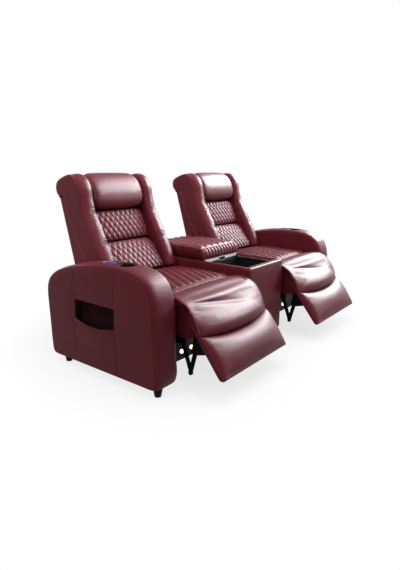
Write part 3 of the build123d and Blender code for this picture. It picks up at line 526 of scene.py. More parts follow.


# seam is the dark colour that a mesh's point attribute mixes in: dark seams, and painted shade in creases and
# valleys
burgundy = {"deep": (0.104, 0.0120, 0.0175), "pale": (0.150, 0.0200, 0.0285), "seam": (0.030, 0.003, 0.005),
            "seamsAndShadeStrength": 0.75, "coat": 0.0, "shine": 0.09, "tint": (1.0, 0.95, 1.0, 1.0), "rough": 0.41,
            "pebbles": 620.0, "creases": 40.0, "creaseDepth": 0.4, "depth": 0.0006, "swell": 7.0,
            "swellDepth": 0.004}

quilted = {**burgundy, "seamsAndShadeStrength": 0.9, "creaseDepth": 0.2, "swellDepth": 0.001, "rough": 0.52}

effects = {"grain": grainEffect(), "scuffs": scuffEffect()}
finishes = {
    "leather": leather("burgundyLeather", burgundy),
    # lighter copies of the leather and of the quilt for the back and the lid: painted light, for parts that
    # catch more light
    "backLeatherPaintedLight": leather("backLeatherPaintedLight", {**burgundy, "deep": (0.124, 0.0165, 0.0245),
                                           "pale": (0.180, 0.0275, 0.0395), "shine": 0.11}),
    "quilt": leather("quiltedLeather", {**quilted, "shine": 0.06}),
    "backQuiltPaintedLight": leather("quiltedBackPaintedLight", {**quilted, "deep": (0.130, 0.0180, 0.0260),
                                                "pale": (0.190, 0.0300, 0.0420), "shine": 0.15}),
    # darker copy of the leather for the gussets, the panel behind the pads, the seat tuck and the aprons,
    # which lie in shade: painted shade
    "shadedLeather": leather("shadedInnerLeather", {**burgundy, "deep": (0.070, 0.008, 0.011),
                                            "pale": (0.105, 0.013, 0.018)}),
    # paler copy of the leather for the welts and pipings, so they show as a thin line of highlight: painted
    # highlight
    "welt": leather("weltPaintedHighlight", {**burgundy, "deep": (0.160, 0.032, 0.042), "pale": (0.230, 0.052, 0.064),
                                    "shine": 0.2, "swellDepth": 0.0003}),
    "thread": moulded("pinkThread", (0.46, 0.19, 0.20), 0.6, 1400.0, 0.0003),
    # near-black colour of the tube that stands for the shade in the crease under the scroll: painted shade
    "crease": moulded("creaseShade", (0.012, 0.003, 0.004), 0.8, 400.0, 0.0004, shine=0.05),
    "blackMetal": metal("blackPaintedSteel", (0.0045, 0.0055, 0.0080), (0.016, 0.018, 0.024), 0.30, 0.4,
                        metallic=0.0, shine=0.04),
    "zinc": metal("zincPlatedSteel", (0.48, 0.49, 0.50), (0.72, 0.72, 0.70), 0.34, 0.9, 24.0),
    "strip": metal("brushedStrip", (0.86, 0.87, 0.90), (0.97, 0.97, 0.98), 0.42, 0.5, 60.0, metallic=0.45),
    "plastic": moulded("blackPlastic", (0.010, 0.010, 0.012), 0.46, shine=0.06),
    "gloss": moulded("glossBlack", (0.006, 0.006, 0.008), 0.16, 300.0, 0.00005, 0.6),
    "drive": moulded("driveHousing", (0.030, 0.032, 0.036), 0.5, shine=0.15),
    "timber": timber("pineBoard", (0.52, 0.36, 0.20), (0.30, 0.17, 0.08)),
    "lens": glowing("warmLens", (1.0, 0.84, 0.50), 3.0),
    "blueLight": glowing("blueLight", (0.03, 0.16, 0.95), 2.2),
    "lining": moulded("pocketLining", (0.020, 0.006, 0.008), 0.8, 300.0, 0.0008, shine=0.03),
    "fleece": moulded("blackDustCloth", (0.012, 0.012, 0.013), 0.9, 260.0, 0.0012, shine=0.03),
}
print("materials made")


# legrest cover: one skin from the seat's seam over the knee to the crease above the foot cushion
chaise = {"halfWidth": 325.0, "crownPower": 2.4, "edgeDrop": 7.0, "edgeRound": 13.0, "wrinkle": 6.2,
          "dent": 1.6, "rows": 170, "columns": 150, "welt": 1.5, "pipeAt": 320.5}


def chaiseSheets(rows, columns):
    # a middle line and an edge line, mixed across by one minus a power of the distance from the middle;
    # the middle line runs further down the rest, which gives the smile at the crease
    def line(seatPart, restPart):
        y, z = restToSeat(*np.array(restPart, float).T)
        return np.concatenate([np.array(seatPart, float), np.stack([y, z], -1)])
    middle = line([(120.5, 477), (114, 482), (100, 485), (70, 488), (36, 486), (4, 474)],
                  [(-14, 27), (16, 26), (46, 31), (80, 41), (112, 49), (142, 49), (166, 38),
                   (180, 20), (184, 4), (179, -8), (168, -11.6)])
    edge = line([(120.5, 466), (115, 471), (102, 476), (72, 480), (42, 481), (14, 475)],
                [(-14, 15), (13, 19), (42, 20), (65, 18), (92, 12), (112, 5), (126, 0),
                 (138, -5), (142, -8), (139, -10.5), (131, -11.6)])
    under = line([(120.5, 446), (112, 440), (96, 441), (68, 443), (40, 445), (12, 448)],
                 [(-14, 8.5), (6, 9.5), (22, -3), (42, -11.0), (72, -11.6), (96, -11.6), (116, -11.6),
                  (126, -11.6), (132, -11.6), (132, -11.6), (131, -11.6)])
    run = chords(middle)
    v = chaise
    length = np.linalg.norm(np.diff(middle, axis=0), axis=1).sum()
    t = np.linspace(0, 1, rows)
    xi = mirrored(columns, 0.8)
    x = v["halfWidth"] * xi
    mid, rim, low = (lineThrough(p, t, run)[:, None] for p in (middle, edge, under))
    crown = (1 - np.abs(xi) ** v["crownPower"])[None, :, None]
    top = rim + (mid - rim) * crown
    square = -leftOf(unit(np.gradient(top, axis=0)))
    outwards = square * np.sign((square * np.array([-0.5, 0.8])).sum(-1, keepdims=True) + 1e-9)
    out = np.where(t[:, None, None] > 0.9, square, outwards)
    along = (t * length)[:, None]
    across = xi[None, :]
    where = 172 + 50 * (across + 0.93) + 4 * np.sin(3 * across + 0.6)          # a slanting wrinkle's line
    depth = v["wrinkle"] * soft((across + 0.95) / 0.25) * (1 - soft((across - 0.05) / 0.6))
    wide = 10 + 7 * (across + 0.9)
    flanks = 0.4 * bell(along, where + 2.2 * wide, 1.8 * wide)
    flanks = flanks + 0.3 * bell(along, where - 2 * wide, 1.7 * wide)
    lift = depth * (flanks - bell(along, where, wide))
    lift = lift - v["dent"] * bell(along, 262 + 16 * across, 17) * bell(across, 0.70, 0.20)
    lift = lift - v["dent"] * bell(along - 40 * across, 250, 6) * bell(across, -0.86, 0.07)
    border = v["halfWidth"] - np.abs(x)[None, :]
    lift = lift * soft(border / 60) - v["edgeDrop"] * (1 - roundEdge(border / v["edgeRound"]))
    lift = lift - v["welt"] * bell(border, 9, 2.2)
    lift = lift * soft(along / 14) * soft((length - along) / 30)
    top = top + out * lift[..., None]
    tail = np.array(restToSeat(36 * crown[0, :, 0], 0)) - np.array(restToSeat(0 * xi, 0))
    bottom = low + soft((t - 0.72) / 0.2)[:, None, None] * tail.T[None]
    # darker along the seam, and painted shade in the crease above the foot cushion
    seamsAndShade = 0.5 * bell(along, 0, 4) + 0.8 * bell(length - along, 0, 16)
    return placed(x, top[..., 0], top[..., 1]), placed(x, bottom[..., 0], bottom[..., 1]), seamsAndShade


def chaiseSkin(side, moves):
    face, under, seamsAndShade = chaiseSheets(*moves.shape[:2])
    shift = toSeat(side)
    face, under = face + moves + shift, under + shift
    rows = len(face)
    column = np.argmin(np.abs(np.abs(face[rows // 2, :60, 0] - shift[0]) - chaise["pipeAt"] * 0.001))
    pipes = [tube(f"{side}_chaise_{hand}_piping", face[8:int(0.87 * rows), k], 0.0026, (1, 0, 0))
             for hand, k in zip(hands, (column, -1 - column))]
    return pillow(side + "_chaise", face, under, seamsAndShade), face[int(0.018 * rows) + 1, 3:-3], pipes


gussetSheet = {"fromMiddle": 318.6, "halfThick": 1.1, "pleat": 2.0, "pleats": 2.3}


def gusset(side, hand):
    # leather wing below the cover's edge: its top follows the edge, its foot runs from the box to the crease,
    # and it hangs in a few soft pleats between them
    v = gussetSheet
    top = [(66, 458), (40, 460), (14, 452), (-14, 446), (-33, 434), (-51, 412), (-66, 392), (-80, 366),
           (-90, 342), (-100, 322)]
    foot = [(70, 292), (48, 288), (24, 285), (0, 285), (-22, 288), (-42, 292), (-60, 297), (-76, 303),
            (-88, 309), (-98, 316)]
    t, f = np.linspace(0, 1, 60), np.linspace(0, 1, 40)[None, :]
    a, b = lineThrough(top, t)[:, None], lineThrough(foot, t)[:, None]
    line = a + (b - a) * f[..., None]
    wave = np.sin(2 * np.pi * (v["pleats"] * t[:, None] + 0.25 * f))
    out = v["fromMiddle"] + v["pleat"] * wave * np.sin(np.pi * np.clip(f * 1.1, 0, 1)) ** 0.7
    outer, inner = (placed(seatMiddle[side] + hands[hand] * (out + off), line[..., 0], line[..., 1])
                    for off in (v["halfThick"], -v["halfThick"]))
    return pillow(f"{side}_gusset_{hand}", outer, inner)


footPad = {"halfWidth": 323.0, "length": 380.0, "rows": 130, "columns": 150, "edgeRound": 30.0, "welt": 1.3}


def footSheets(rows, columns):
    # height over the board from a middle and an edge profile, mixed across as the legrest cover is
    v = footPad
    middle = [(0, 0.2), (3, 12), (8, 21), (18, 32), (36, 43), (64, 51), (98, 53.5), (130, 48),
              (160, 37), (183, 24), (197, 13), (201, 0.4)]
    edge = [(0, 0.2), (3, 7), (8, 11), (20, 15), (44, 18), (84, 19), (126, 18), (166, 15.5),
            (204, 12.5), (226, 10.5), (235, 6.5), (239, 0.4)]
    t = 0.5 * np.linspace(0, 1, rows) + 0.5 * crowded(rows, 0.95)
    xi = mirrored(columns, 0.8)
    x = v["halfWidth"] * xi
    mid, rim = (lineThrough(line, t, chords(middle))[:, None] for line in (middle, edge))
    crown, plump = (1 - np.abs(xi) ** 2.15)[None, :], (1 - np.abs(xi) ** 3.3)[None, :]
    start = 141 + 38 * crown
    s = start + rim[..., 0] + (mid - rim)[..., 0] * crown
    h = np.maximum(rim[..., 1] + (mid - rim)[..., 1] * plump, 0)
    border = v["halfWidth"] - np.abs(x)[None, :]
    fromTop = s - start
    pucker = 1.4 * np.sin(x[None, :] / 5.2 + 1.5 * np.sin(x / 31)[None, :]) * np.exp(-fromTop / 14)
    h = (h + pucker * soft(fromTop / 6) * soft(border / 40)) * roundEdge(border / v["edgeRound"])
    fromFoot = v["length"] - s
    welt = v["welt"] * (bell(border, 17, 1.6) + bell(fromFoot, 13, 1.6))
    h = h + (welt - 1.0 * bell(border, 20.5, 1.5) - 0.9 * bell(fromFoot, 16.5, 1.5)) * soft(h / 6)
    for deep, x0, wide, s0, long in ((2.0, -120, 60, 300, 30), (1.5, 150, 80, 285, 26)):          # two dents
        h = h - deep * bell(x[None, :], x0, wide) * bell(s, s0, long)
    face, under = (placed(x, *restToSeat(s, n)) for n in (h - 11.7, -11.85))
    # painted shade along the top, under the legrest cover's roll
    return face, under, 1.1 * np.exp(-fromTop / 9)


def footSkin(side, moves):
    face, under, seamsAndShade = footSheets(*moves.shape[:2])
    return pillow(side + "_foot_cushion", face + moves + toSeat(side), under + toSeat(side), seamsAndShade)


seatTop = {"halfWidth": 326.0, "crown": 17.0, "frontCrown": 15.5, "crownPower": 2.4, "puff": 9.0,
           "sideRoll": 26.0, "diamondWide": 58.0, "diamondLong": 100.0, "rows": 180, "columns": 250}


def seatSkin(side):
    # side profile with a crown, diamond pillows and rolled sides added upwards
    v = seatTop
    t = 0.7 * np.linspace(0, 1, v["rows"]) + 0.3 * crowded(v["rows"])
    line = lineThrough([(119.8, 461), (122, 465), (132, 468), (200, 471), (343, 473), (480, 472),
                        (530, 467), (552, 456), (563, 440), (565.5, 420), (565.5, 400)], t)
    y, z = line[:, :1], line[:, 1:]
    xi = mirrored(v["columns"], 0.35)
    x = (v["halfWidth"] * xi)[None, :]
    border = v["halfWidth"] - np.abs(x)
    arch, fromFront = (1 - np.abs(xi) ** v["crownPower"])[None, :], soft((y - 112) / 60)
    crown = arch * (v["crown"] * fromFront * soft((568 - y) / 50) + v["frontCrown"] * (1 - fromFront))
    quilt = diamonds(x, y - 119.8, v["diamondWide"], v["diamondLong"])
    puff = v["puff"] * quilt * soft((y - 121) / 46) * soft((560 - y) / 22) * soft(border / 18)
    roll = v["sideRoll"] * (1 - roundEdge(border / v["sideRoll"])) * soft((568 - y) / 30)
    x = seatMiddle[side] + x
    # painted shade in the quilt's valleys, and a dark line at the front seam
    seamsAndShade = np.clip((1 - quilt) ** 8, 0, 1) * soft((y - 119) / 6) + 0.5 * bell(y, 120, 3)
    return pillow(side + "_seat_quilt", placed(x, y, z + crown + puff - roll),
                  placed(x, np.clip(y, 121, 564), 395.2), seamsAndShade)


def onBack(side, x, b, h):
    y, z = backToSeat(b, h)
    return placed(seatMiddle[side] + x, y, z)


rollLine = [(-98, 40), (-96, 110), (-82, 218), (-54, 345), (-33, 440), (-30, 520), (-36, 590), (-24, 644),
            (6, 680), (52, 699), (100, 701), (140, 697), (178, 684), (196, 650), (193, 616), (178, 594)]
rollPad = {"section": [(221, 54), (219, 34), (222, 16), (232, 5), (248, 0), (267, 1.5), (285, 8), (298, 17),
                       (306, 29), (309.5, 42), (308, 52), (290, 56), (262, 56), (236, 56)],
           "rows": 330, "around": 52, "gathers": (262.0, 452.0), "crease": 4.2, "waist": 3.4}


def rollSurface(rows, around):
    # the section carried along the roll's front line, drawn in and creased at the two gathers
    v = rollPad
    fine = evenly(rollLine, 1400)
    run = lengthAlong(fine)
    atGather = [run[np.argmin(np.abs(fine[:900, 1] - h))] for h in v["gathers"]]
    dense = 1 + 2.5 * (bell(run, 0, 25) + bell(run, run[-1], 25))
    dense = dense + sum(3.2 * bell(run, g, 42) for g in atGather)
    share = np.cumsum(dense) / dense.sum()
    where = np.interp(np.linspace(share[0], 1, rows), share, run)
    path = sampled(fine, run, where)
    out = leftOf(unit(np.gradient(path, where, axis=0)))
    section = loopThrough(v["section"], around)
    middle = np.array([262.0, 30.0])
    ends = 0.06 + 0.94 * roundEdge(np.minimum(where, run[-1] - where) / 26)[:, None, None]
    shape = middle + (section[None] - middle) * ends
    x, d = shape[..., 0], shape[..., 1]
    d = d * np.interp(where, [0, run[-1] * 0.62, run[-1] * 0.75, run[-1]], [1, 1, 0.84, 0.84])[:, None]
    front = np.clip(1 - d / 34, 0, 1)
    inner = soft((288 - x) / 44)
    creases = sum(a * bell(where, g + o, 2.4)
                  for g in atGather for o, a in ((-17, 0.5), (-8, 0.85), (0, 1.0), (9, 0.8), (19, 0.45)))
    ripple = sum(bell(where, g, 26) for g in atGather)
    gather = v["crease"] * creases[:, None] * inner + v["waist"] * ripple[:, None] * (0.4 + 0.6 * inner)
    d = d + gather * front
    slanted = where[:, None] + 0.55 * (262 - x) - atGather[1]        # pulls that run down and outwards
    pulls = sum(a * bell(slanted, o, 4.2) for o, a in ((-34, 1.0), (-56, 0.8), (-80, 0.6), (-106, 0.4)))
    d = d + 1.7 * pulls * bell(x, 262, 24) * front
    b, h = path[:, :1] - out[:, :1] * d, path[:, 1:] - out[:, 1:] * d
    rear = soft((section[:, 1] - 46) / 8)[None, :] * (1 - soft((path[:, 1] - 600) / 60) * (path[:, 0] < 60)
                                                      - (path[:, 0] >= 60))[:, None] * ends[..., 0]
    b, h = b + (98 - b) * rear, h + (path[:, 1:] - h) * rear          # its foam reaches back to the frame
    y, z = backToSeat(b, h)
    # painted shade in the gathers' creases and where the foam reaches back to the frame
    return placed(x, y, z), 0.5 * creases[:, None] * inner + 0.8 * rear, (d > 44)


def rollSkin(side, hand, moves):
    grid, seamsAndShade, _ = rollSurface(*moves.shape[:2])
    return rings(f"{side}_{hand}_roll", (grid + moves) * np.array([hands[hand], 1, 1]) + toSeat(side), seamsAndShade)


wingPad = {"outer": 310.0, "inner": 289.0, "points": 300}


def wingLoop():
    # behind the side roll, by a depth that shrinks over the scroll, and back along the frame
    front = evenly(rollLine, 240)
    deep = np.interp(np.linspace(0, 1, 240), [0, 0.60, 0.67, 0.75, 1], [37, 37, 24, 4, 3])
    edge = front - leftOf(unit(np.gradient(front, axis=0))) * deep[:, None]
    low = [(172, 583), (172, 560), (172, 300), (172, 0), (171, -50), (165, -56), (150, -56), (142, -40),
           (108, 20), (70, 46), (54, 50), (10, 49)]
    return evenPolygon(np.concatenate([edge[4:-1:4], low]), wingPad["points"])


def wingSkin(side, hand):
    # a flat inner face and an outer face that rises from a rounded rim to a slight crown
    i, o = wingPad["inner"], wingPad["outer"]
    rows = [(6, 0.02, i), (6, 0.6, i), (3, 1, i), (0.6, 1, i + 1), (0, 1, i + 3), (0, 1, o - 6),
            (1, 1, o - 2.4), (3, 1, o - 0.4), (6, 1, o + 0.9), (10, 1, o + 1.9), (16, 1, o + 2.6),
            (22, 1, o + 2.9), (22, 0.9, o + 3.1), (22, 0.6, o + 3.2), (22, 0.3, o + 3.2), (22, 0.02, o + 3.2)]
    return drum(f"{side}_{hand}_side_panel", wingLoop(), rows,
                lambda x, b, h: onBack(side, hands[hand] * x, b, h), centre=(72, 330))


def wingSeam(side, hand):
    # the curved welt down the side panel, and under its scroll a dark tube that paints the shade of a crease,
    # both with their ends let in
    count, outer = 90, wingPad["outer"]
    seam = evenly([(24, 84), (40, 120), (62, 205), (92, 300), (109, 373), (119, 470), (121, 540), (128, 600)],
                  count)
    crease = evenly([(176, 592), (160, 590), (140, 591), (131, 597)], 24)
    fromEnd = np.minimum(np.arange(count), count - 1 - np.arange(count))
    seamOut = outer + 1.0 + 1.8 * soft(fromEnd / 12)
    creaseOut = outer + 2.3 - 4 * (1 - soft((178 - crease[:, 0]) / 14)) - 4 * soft((138 - crease[:, 0]) / 8)
    return [tube(f"{side}_{hand}_{label}", onBack(side, hands[hand] * out, *line.T), radius, (1, 0, 0))
            for label, line, out, radius in (("side_seam", seam, seamOut, 0.0032),
                                             ("scroll_crease_shade", crease, creaseOut, 0.0038))]


scrollRoll = {"half": 225.0, "middle": (140.0, 640.0), "grooveAt": 150.0}


def scrollSkin(side):
    # the roll across the top, its ends let into the side rolls
    loop = loopThrough([(174, 590), (189, 606), (197, 640), (189, 671), (170, 689), (140, 697), (104, 699),
                        (82, 690), (76, 664), (80, 626), (96, 600), (130, 588)], 90)
    v, middle = scrollRoll, np.array(scrollRoll["middle"])
    x = v["half"] * mirrored(60, 0.5)
    ease = 0.965 + 0.035 * roundEdge((v["half"] - np.abs(x)) / 9)
    groove = 1 - 0.02 * bell(np.abs(x), v["grooveAt"], 2.2)
    shape = middle + (loop[None] - middle) * (ease * groove)[:, None, None]
    return rings(side + "_scroll", onBack(side, x[:, None], shape[..., 0], shape[..., 1]))


rearPanel = {"half": 301.0, "low": -55.0, "high": 585.0, "front": 152.4, "channelAt": 118.0, "channel": 1.8}


def rearSkin(side):
    # flat panel with a slight crown, two sewn channels and rolled edges
    v = rearPanel
    h = (v["low"] + (v["high"] - v["low"]) * crowded(110, 0.8))[:, None]
    x = (v["half"] * mirrored(130, 0.7))[None, :]
    border = np.minimum(v["half"] - np.abs(x), np.minimum(h - v["low"], v["high"] - h))
    b = 163 + 8 * roundEdge(border / 14) + 1.8 * soft(border / 150)
    for at in (-v["channelAt"], v["channelAt"]):
        b = b - v["channel"] * bell(x, at, 1.7) + 0.7 * bell(x, at + 6, 4) + 0.7 * bell(x, at - 6, 4)
    return pillow(side + "_rear_panel", onBack(side, x, b, h), onBack(side, x, v["front"], h),
                  bell(np.abs(x), v["channelAt"], 1.6))


innerPanel = {"half": 222.0, "low": 44.0, "height": 600.0, "front": 99.0, "back": 108.0}


def innerSkin(side):
    # panel behind the pads, seen only between them, dark with painted shade
    v = innerPanel
    h = (v["low"] + v["height"] * crowded(20))[:, None]
    x = v["half"] * mirrored(20, 0.75)[None, :]
    return pillow(side + "_inner_panel", onBack(side, x, v["front"], h), onBack(side, x, v["back"], h))


tuck = {"half": 286.0, "sag": 3.0, "ripple": 0.7, "halfThick": 1.0}


def throatSkin(side):
    # leather tucked from the seat's rear edge to below the lower pad, sagging in the middle
    path = lineThrough([(553, 440), (564, 445.5), (584, 448), (612, 449), (642, 450), (668, 447)],
                       np.linspace(0, 1, 50))
    v = tuck
    x = v["half"] * mirrored(60, 0.5)[None, :]
    y, z = path[:, :1], path[:, 1:]
    z = z - v["sag"] * (1 - (x / v["half"]) ** 2) * bell(y, 580, 18)
    z = z + v["ripple"] * np.sin(x / 17 + 0.8 * np.sin(x / 41)) * bell(y, 590, 30)
    x = seatMiddle[side] + x
    return pillow(side + "_seat_tuck", placed(x, y, z + v["halfThick"]), placed(x, y, z - v["halfThick"]))


lumbarPads = {"upper": {"low": 269.0, "high": 468.0, "lowB": 24.0, "highB": 48.0, "puff": 24.0},
              "lower": {"low": 52.0, "high": 264.0, "lowB": -56.0, "highB": 18.0, "puff": 25.0}}
lumbarQuilt = {"wide": 41.0, "tall": 71.0, "puff": 8.5, "halfWidth": 214.0, "rows": 96, "columns": 190}


def lumbarSkin(side, which):
    # sloping face, arched both ways, narrowed at its top corners, with diamond pillows on it
    v, q = lumbarPads[which], lumbarQuilt
    eta = crowded(q["rows"], 0.5)[:, None]
    xi = mirrored(q["columns"], 0.35)[None, :]
    high = v["high"] - v["low"]
    narrow = 1 - 0.22 * (1 - roundEdge((1 - eta) / 0.34)) - 0.04 * (1 - roundEdge(eta / 0.2))
    x = q["halfWidth"] * xi * narrow
    h = v["low"] + high * eta
    fromSide = (1 - np.abs(xi)) * q["halfWidth"]
    fromEnd = np.minimum(eta, 1 - eta) * high
    arch = (1 - np.abs(xi) ** 4) ** 0.6 * (1 - np.abs(2 * eta - 1) ** 3.2) ** 0.62
    quilt = diamonds(x, h - v["low"] - high / 2, q["wide"], q["tall"])
    base = v["lowB"] + (v["highB"] - v["lowB"]) * eta
    fade = soft(fromSide / 16) * soft(fromEnd / 12)
    b = base - v["puff"] * arch - q["puff"] * quilt * fade
    # painted shade in the quilt's valleys and along the pad's ends, where it meets the next
    seamsAndShade = (1 - quilt) ** 8 * fade + bell(fromEnd, 0, 7)
    return pillow(f"{side}_{which}_lumbar_pad", onBack(side, x, b, h), onBack(side, x, 96, h), seamsAndShade)


headPad = {"halfWidth": 209.0, "blunt": 7.0, "seam": 193.0, "rows": 130, "around": 160}


def headSurface(rows, around):
    # closed side view shrunk towards its core at both ends, with a boxing seam near each end
    v = headPad
    loop = loopThrough([(68, 520), (54, 487), (28, 470), (4, 475), (-14, 496), (-26, 538), (-26, 588),
                        (-14, 634), (10, 676), (38, 700), (62, 704), (71, 690), (71, 606), (71, 548)], around)
    turn = np.linspace(-np.pi / 2, np.pi / 2, rows)
    power = 2 / v["blunt"]
    x = v["halfWidth"] * np.sign(np.sin(turn)) * np.abs(np.sin(turn)) ** power
    k = np.maximum(np.abs(np.cos(turn)) ** power, 0.04)
    middle = np.array([30.0, 585.0])
    shape = middle + (loop[None] - middle) * k[:, None, None]
    belly = 1 + 0.035 * (1 - (x / v["halfWidth"]) ** 2) - 0.02
    shape = middle + (shape - middle) * belly[:, None, None]
    away = unit(shape - middle)
    step = np.arange(around) * 2 * np.pi / around
    soften = np.clip((40 - shape[..., 0]) / 60, 0, 1)
    seam = bell(np.abs(x), v["seam"], 2.4)[:, None]
    near = bell(np.abs(x), v["seam"] + 1, 11)[:, None]
    change = -3.0 * seam + near * 1.5 * np.sin(31 * step + 2 * np.sin(5 * step))[None, :]
    shape = shape + away * (change * soften)[..., None]
    shape[..., 0] = np.minimum(shape[..., 0], 71.5)
    grid = placed(x[:, None], *backToSeat(shape[..., 0], shape[..., 1]))
    return grid, 0.8 * seam, shape[..., 0] > 62


def headSkin(side, moves):
    grid, seamsAndShade, _ = headSurface(*moves.shape[:2])
    return rings(side + "_head_pillow", grid + moves + toSeat(side), seamsAndShade)


armShape = {"half": 78.0, "shoulder": 23.0, "power": 2.7, "points": 320}
pocket = {"front": 300.0, "back": 605.0, "lip": 300.0, "sag": 24.0, "top": 408.0, "floor": 132.0,
          "depth": 43.0, "panel": 7.0, "bulge": 5.5}
cup = {"y": 280.0, "radius": 44.4, "floor": 545.0, "rim": 55.0, "rimFloor": 622.8}
switches = {"y": 400.0, "plate": (21.6, 46.6), "well": (16.0, 40.0), "light": (19.6, 44.6)}
armOutline = [(26, 52), (12, 56), (4, 74), (6, 200), (11, 360), (16, 450), (32, 520), (60, 570), (104, 603),
              (160, 622), (240, 631), (320, 632), (406, 628), (532, 612), (640, 590), (740, 560), (800, 532),
              (838, 500), (858, 462), (863, 420), (858, 350), (846, 230), (834, 110), (828, 74), (818, 57),
              (800, 52), (600, 52), (400, 52), (200, 52), (60, 52)]


def armLoop():
    # a curve up the front, over the cap and down behind, then straight along the foot
    outline = np.array(armOutline, float)
    curve = lineThrough(outline[:26], np.linspace(0, 1, 600))
    return evenPolygon(np.concatenate([curve, outline[26:]]), armShape["points"])


def prism(name, place, ends):
    return rings(name, np.stack([place(end) for end in ends]), flat=True)


def turned(name, radiusHeight, centre, count=72):
    # a profile of radius and height turned round an upright axis
    turn = np.linspace(0, 2 * np.pi, count, endpoint=False)
    r, z = np.array(radiusHeight, float).T[..., None]
    return rings(name, placed(centre[0] + r * np.cos(turn), centre[1] + r * np.sin(turn), z))


def cutAway(piece, cutters):
    # boolean difference, applied, and the cutters removed
    for cutter in cutters:
        cut = piece.modifiers.new("cut", "BOOLEAN")
        cut.operation, cut.solver, cut.object = "DIFFERENCE", "EXACT", cutter
        cut.material_mode = "TRANSFER"
    graph = bpy.context.evaluated_depsgraph_get()
    mesh = bpy.data.meshes.new_from_object(piece.evaluated_get(graph))
    piece.modifiers.clear()
    old = piece.data
    piece.data = mesh
    bpy.data.meshes.remove(old)
    for cutter in cutters:
        bpy.data.objects.remove(cutter)
    mesh.polygons.foreach_set("use_smooth", np.ones(len(mesh.polygons), bool))
    mesh.set_sharp_from_angle(angle=math.radians(38))
    return piece


def lipHeight(u):             # u from 0 at the pocket's front to 1 at its back
    return pocket["lip"] - pocket["sag"] * 4 * u * (1 - u)


def centredBox(half, radius, count):
    return roundedBox(-half[0], half[0], -half[1], half[1], radius, count)


def armSkin(side):
    # the side outline's rings carried across on a squared oval, which gives the crowned cap;
    # a shallow groove and a ridge run round where the cap meets the sides
    sign, mid, v = hands[side], armMiddle[side], armShape
    turn = np.linspace(0, np.pi / 2, 26)[::-1]
    d = v["shoulder"] * (1 - np.cos(turn) ** (2 / v["power"]))
    x = v["half"] * np.sin(turn) ** (2 / v["power"])
    d, x = np.r_[40, 36, 33, 31, 29.5, 28, 26.5, 25, 24, d], np.r_[np.full(9, v["half"]), x]
    x = x + 1.1 * bell(d, 27.5, 2.2) - 2.2 * bell(d, 20.5, 3.0) * (x > 40)
    half = [(40, k, v["half"]) for k in (0.02, 0.5, 0.85)] + [(a, 1, b) for a, b in zip(d, x)]
    rows = half + [(a, k, -b) for a, k, b in half[:-1][::-1]]
    arm = drum(side + "_arm_cover", armLoop(), rows, lambda x, y, z: placed(mid + x, y, z), centre=(430, 56))
    arm.data.materials.append(finishes["leather"])
    outer = mid + sign * v["half"]
    p, top = pocket, 660          # the cutters from above start over the arm
    lip = np.stack([np.linspace(p["front"], p["back"], 40), lipHeight(np.linspace(0, 1, 40))], -1)
    mouth = np.concatenate([lip, [(p["back"], p["top"]), (p["front"], p["top"])]])
    cavity = np.array([(p["front"], p["floor"]), (p["back"], p["floor"]), (p["back"], p["top"]),
                       (p["front"], p["top"])], float)
    plate = centredBox(switches["plate"], 8, 60) + (mid, switches["y"])
    well = centredBox(switches["well"], 3, 60) + (mid, switches["y"])
    cutters = [prism("mouth", lambda x: placed(x, *mouth.T), (outer - sign * p["depth"], outer + sign * 30)),
               prism("cavity", lambda x: placed(x, *cavity.T),
                     (outer - sign * (p["depth"] - 0.5), outer - sign * p["panel"])),
               turned("cup", [(cup["radius"], cup["floor"]), (cup["radius"], cup["rimFloor"]),
                              (cup["rim"], cup["rimFloor"] + 0.1), (cup["rim"], top)], (mid, cup["y"])),
               prism("plate", lambda z: placed(*plate.T, z), (618.8, top)),
               prism("well", lambda z: placed(*well.T, z), (606, 620))]
    for cutter in cutters[:2]:
        cutter.data.materials.append(finishes["lining"])
    return cutAway(arm, cutters)


frontSeam = [(304, 620), (302, 500), (300, 408), (297, 300), (288, 180), (278, 60)]
rearSeam = [(610, 592), (607, 500), (606, 408), (605, 300), (593, 180), (579, 60)]


def nearest(loop, point):
    return int(np.argmin(np.linalg.norm(loop - np.asarray(point, float), axis=1)))


def stretch(loop, start, stop):
    # the run of a closed loop from the point nearest start forward to the point nearest stop
    i, j = nearest(loop, start), nearest(loop, stop)
    return np.roll(loop, -i, 0)[:(j - i) % len(loop) + 1]


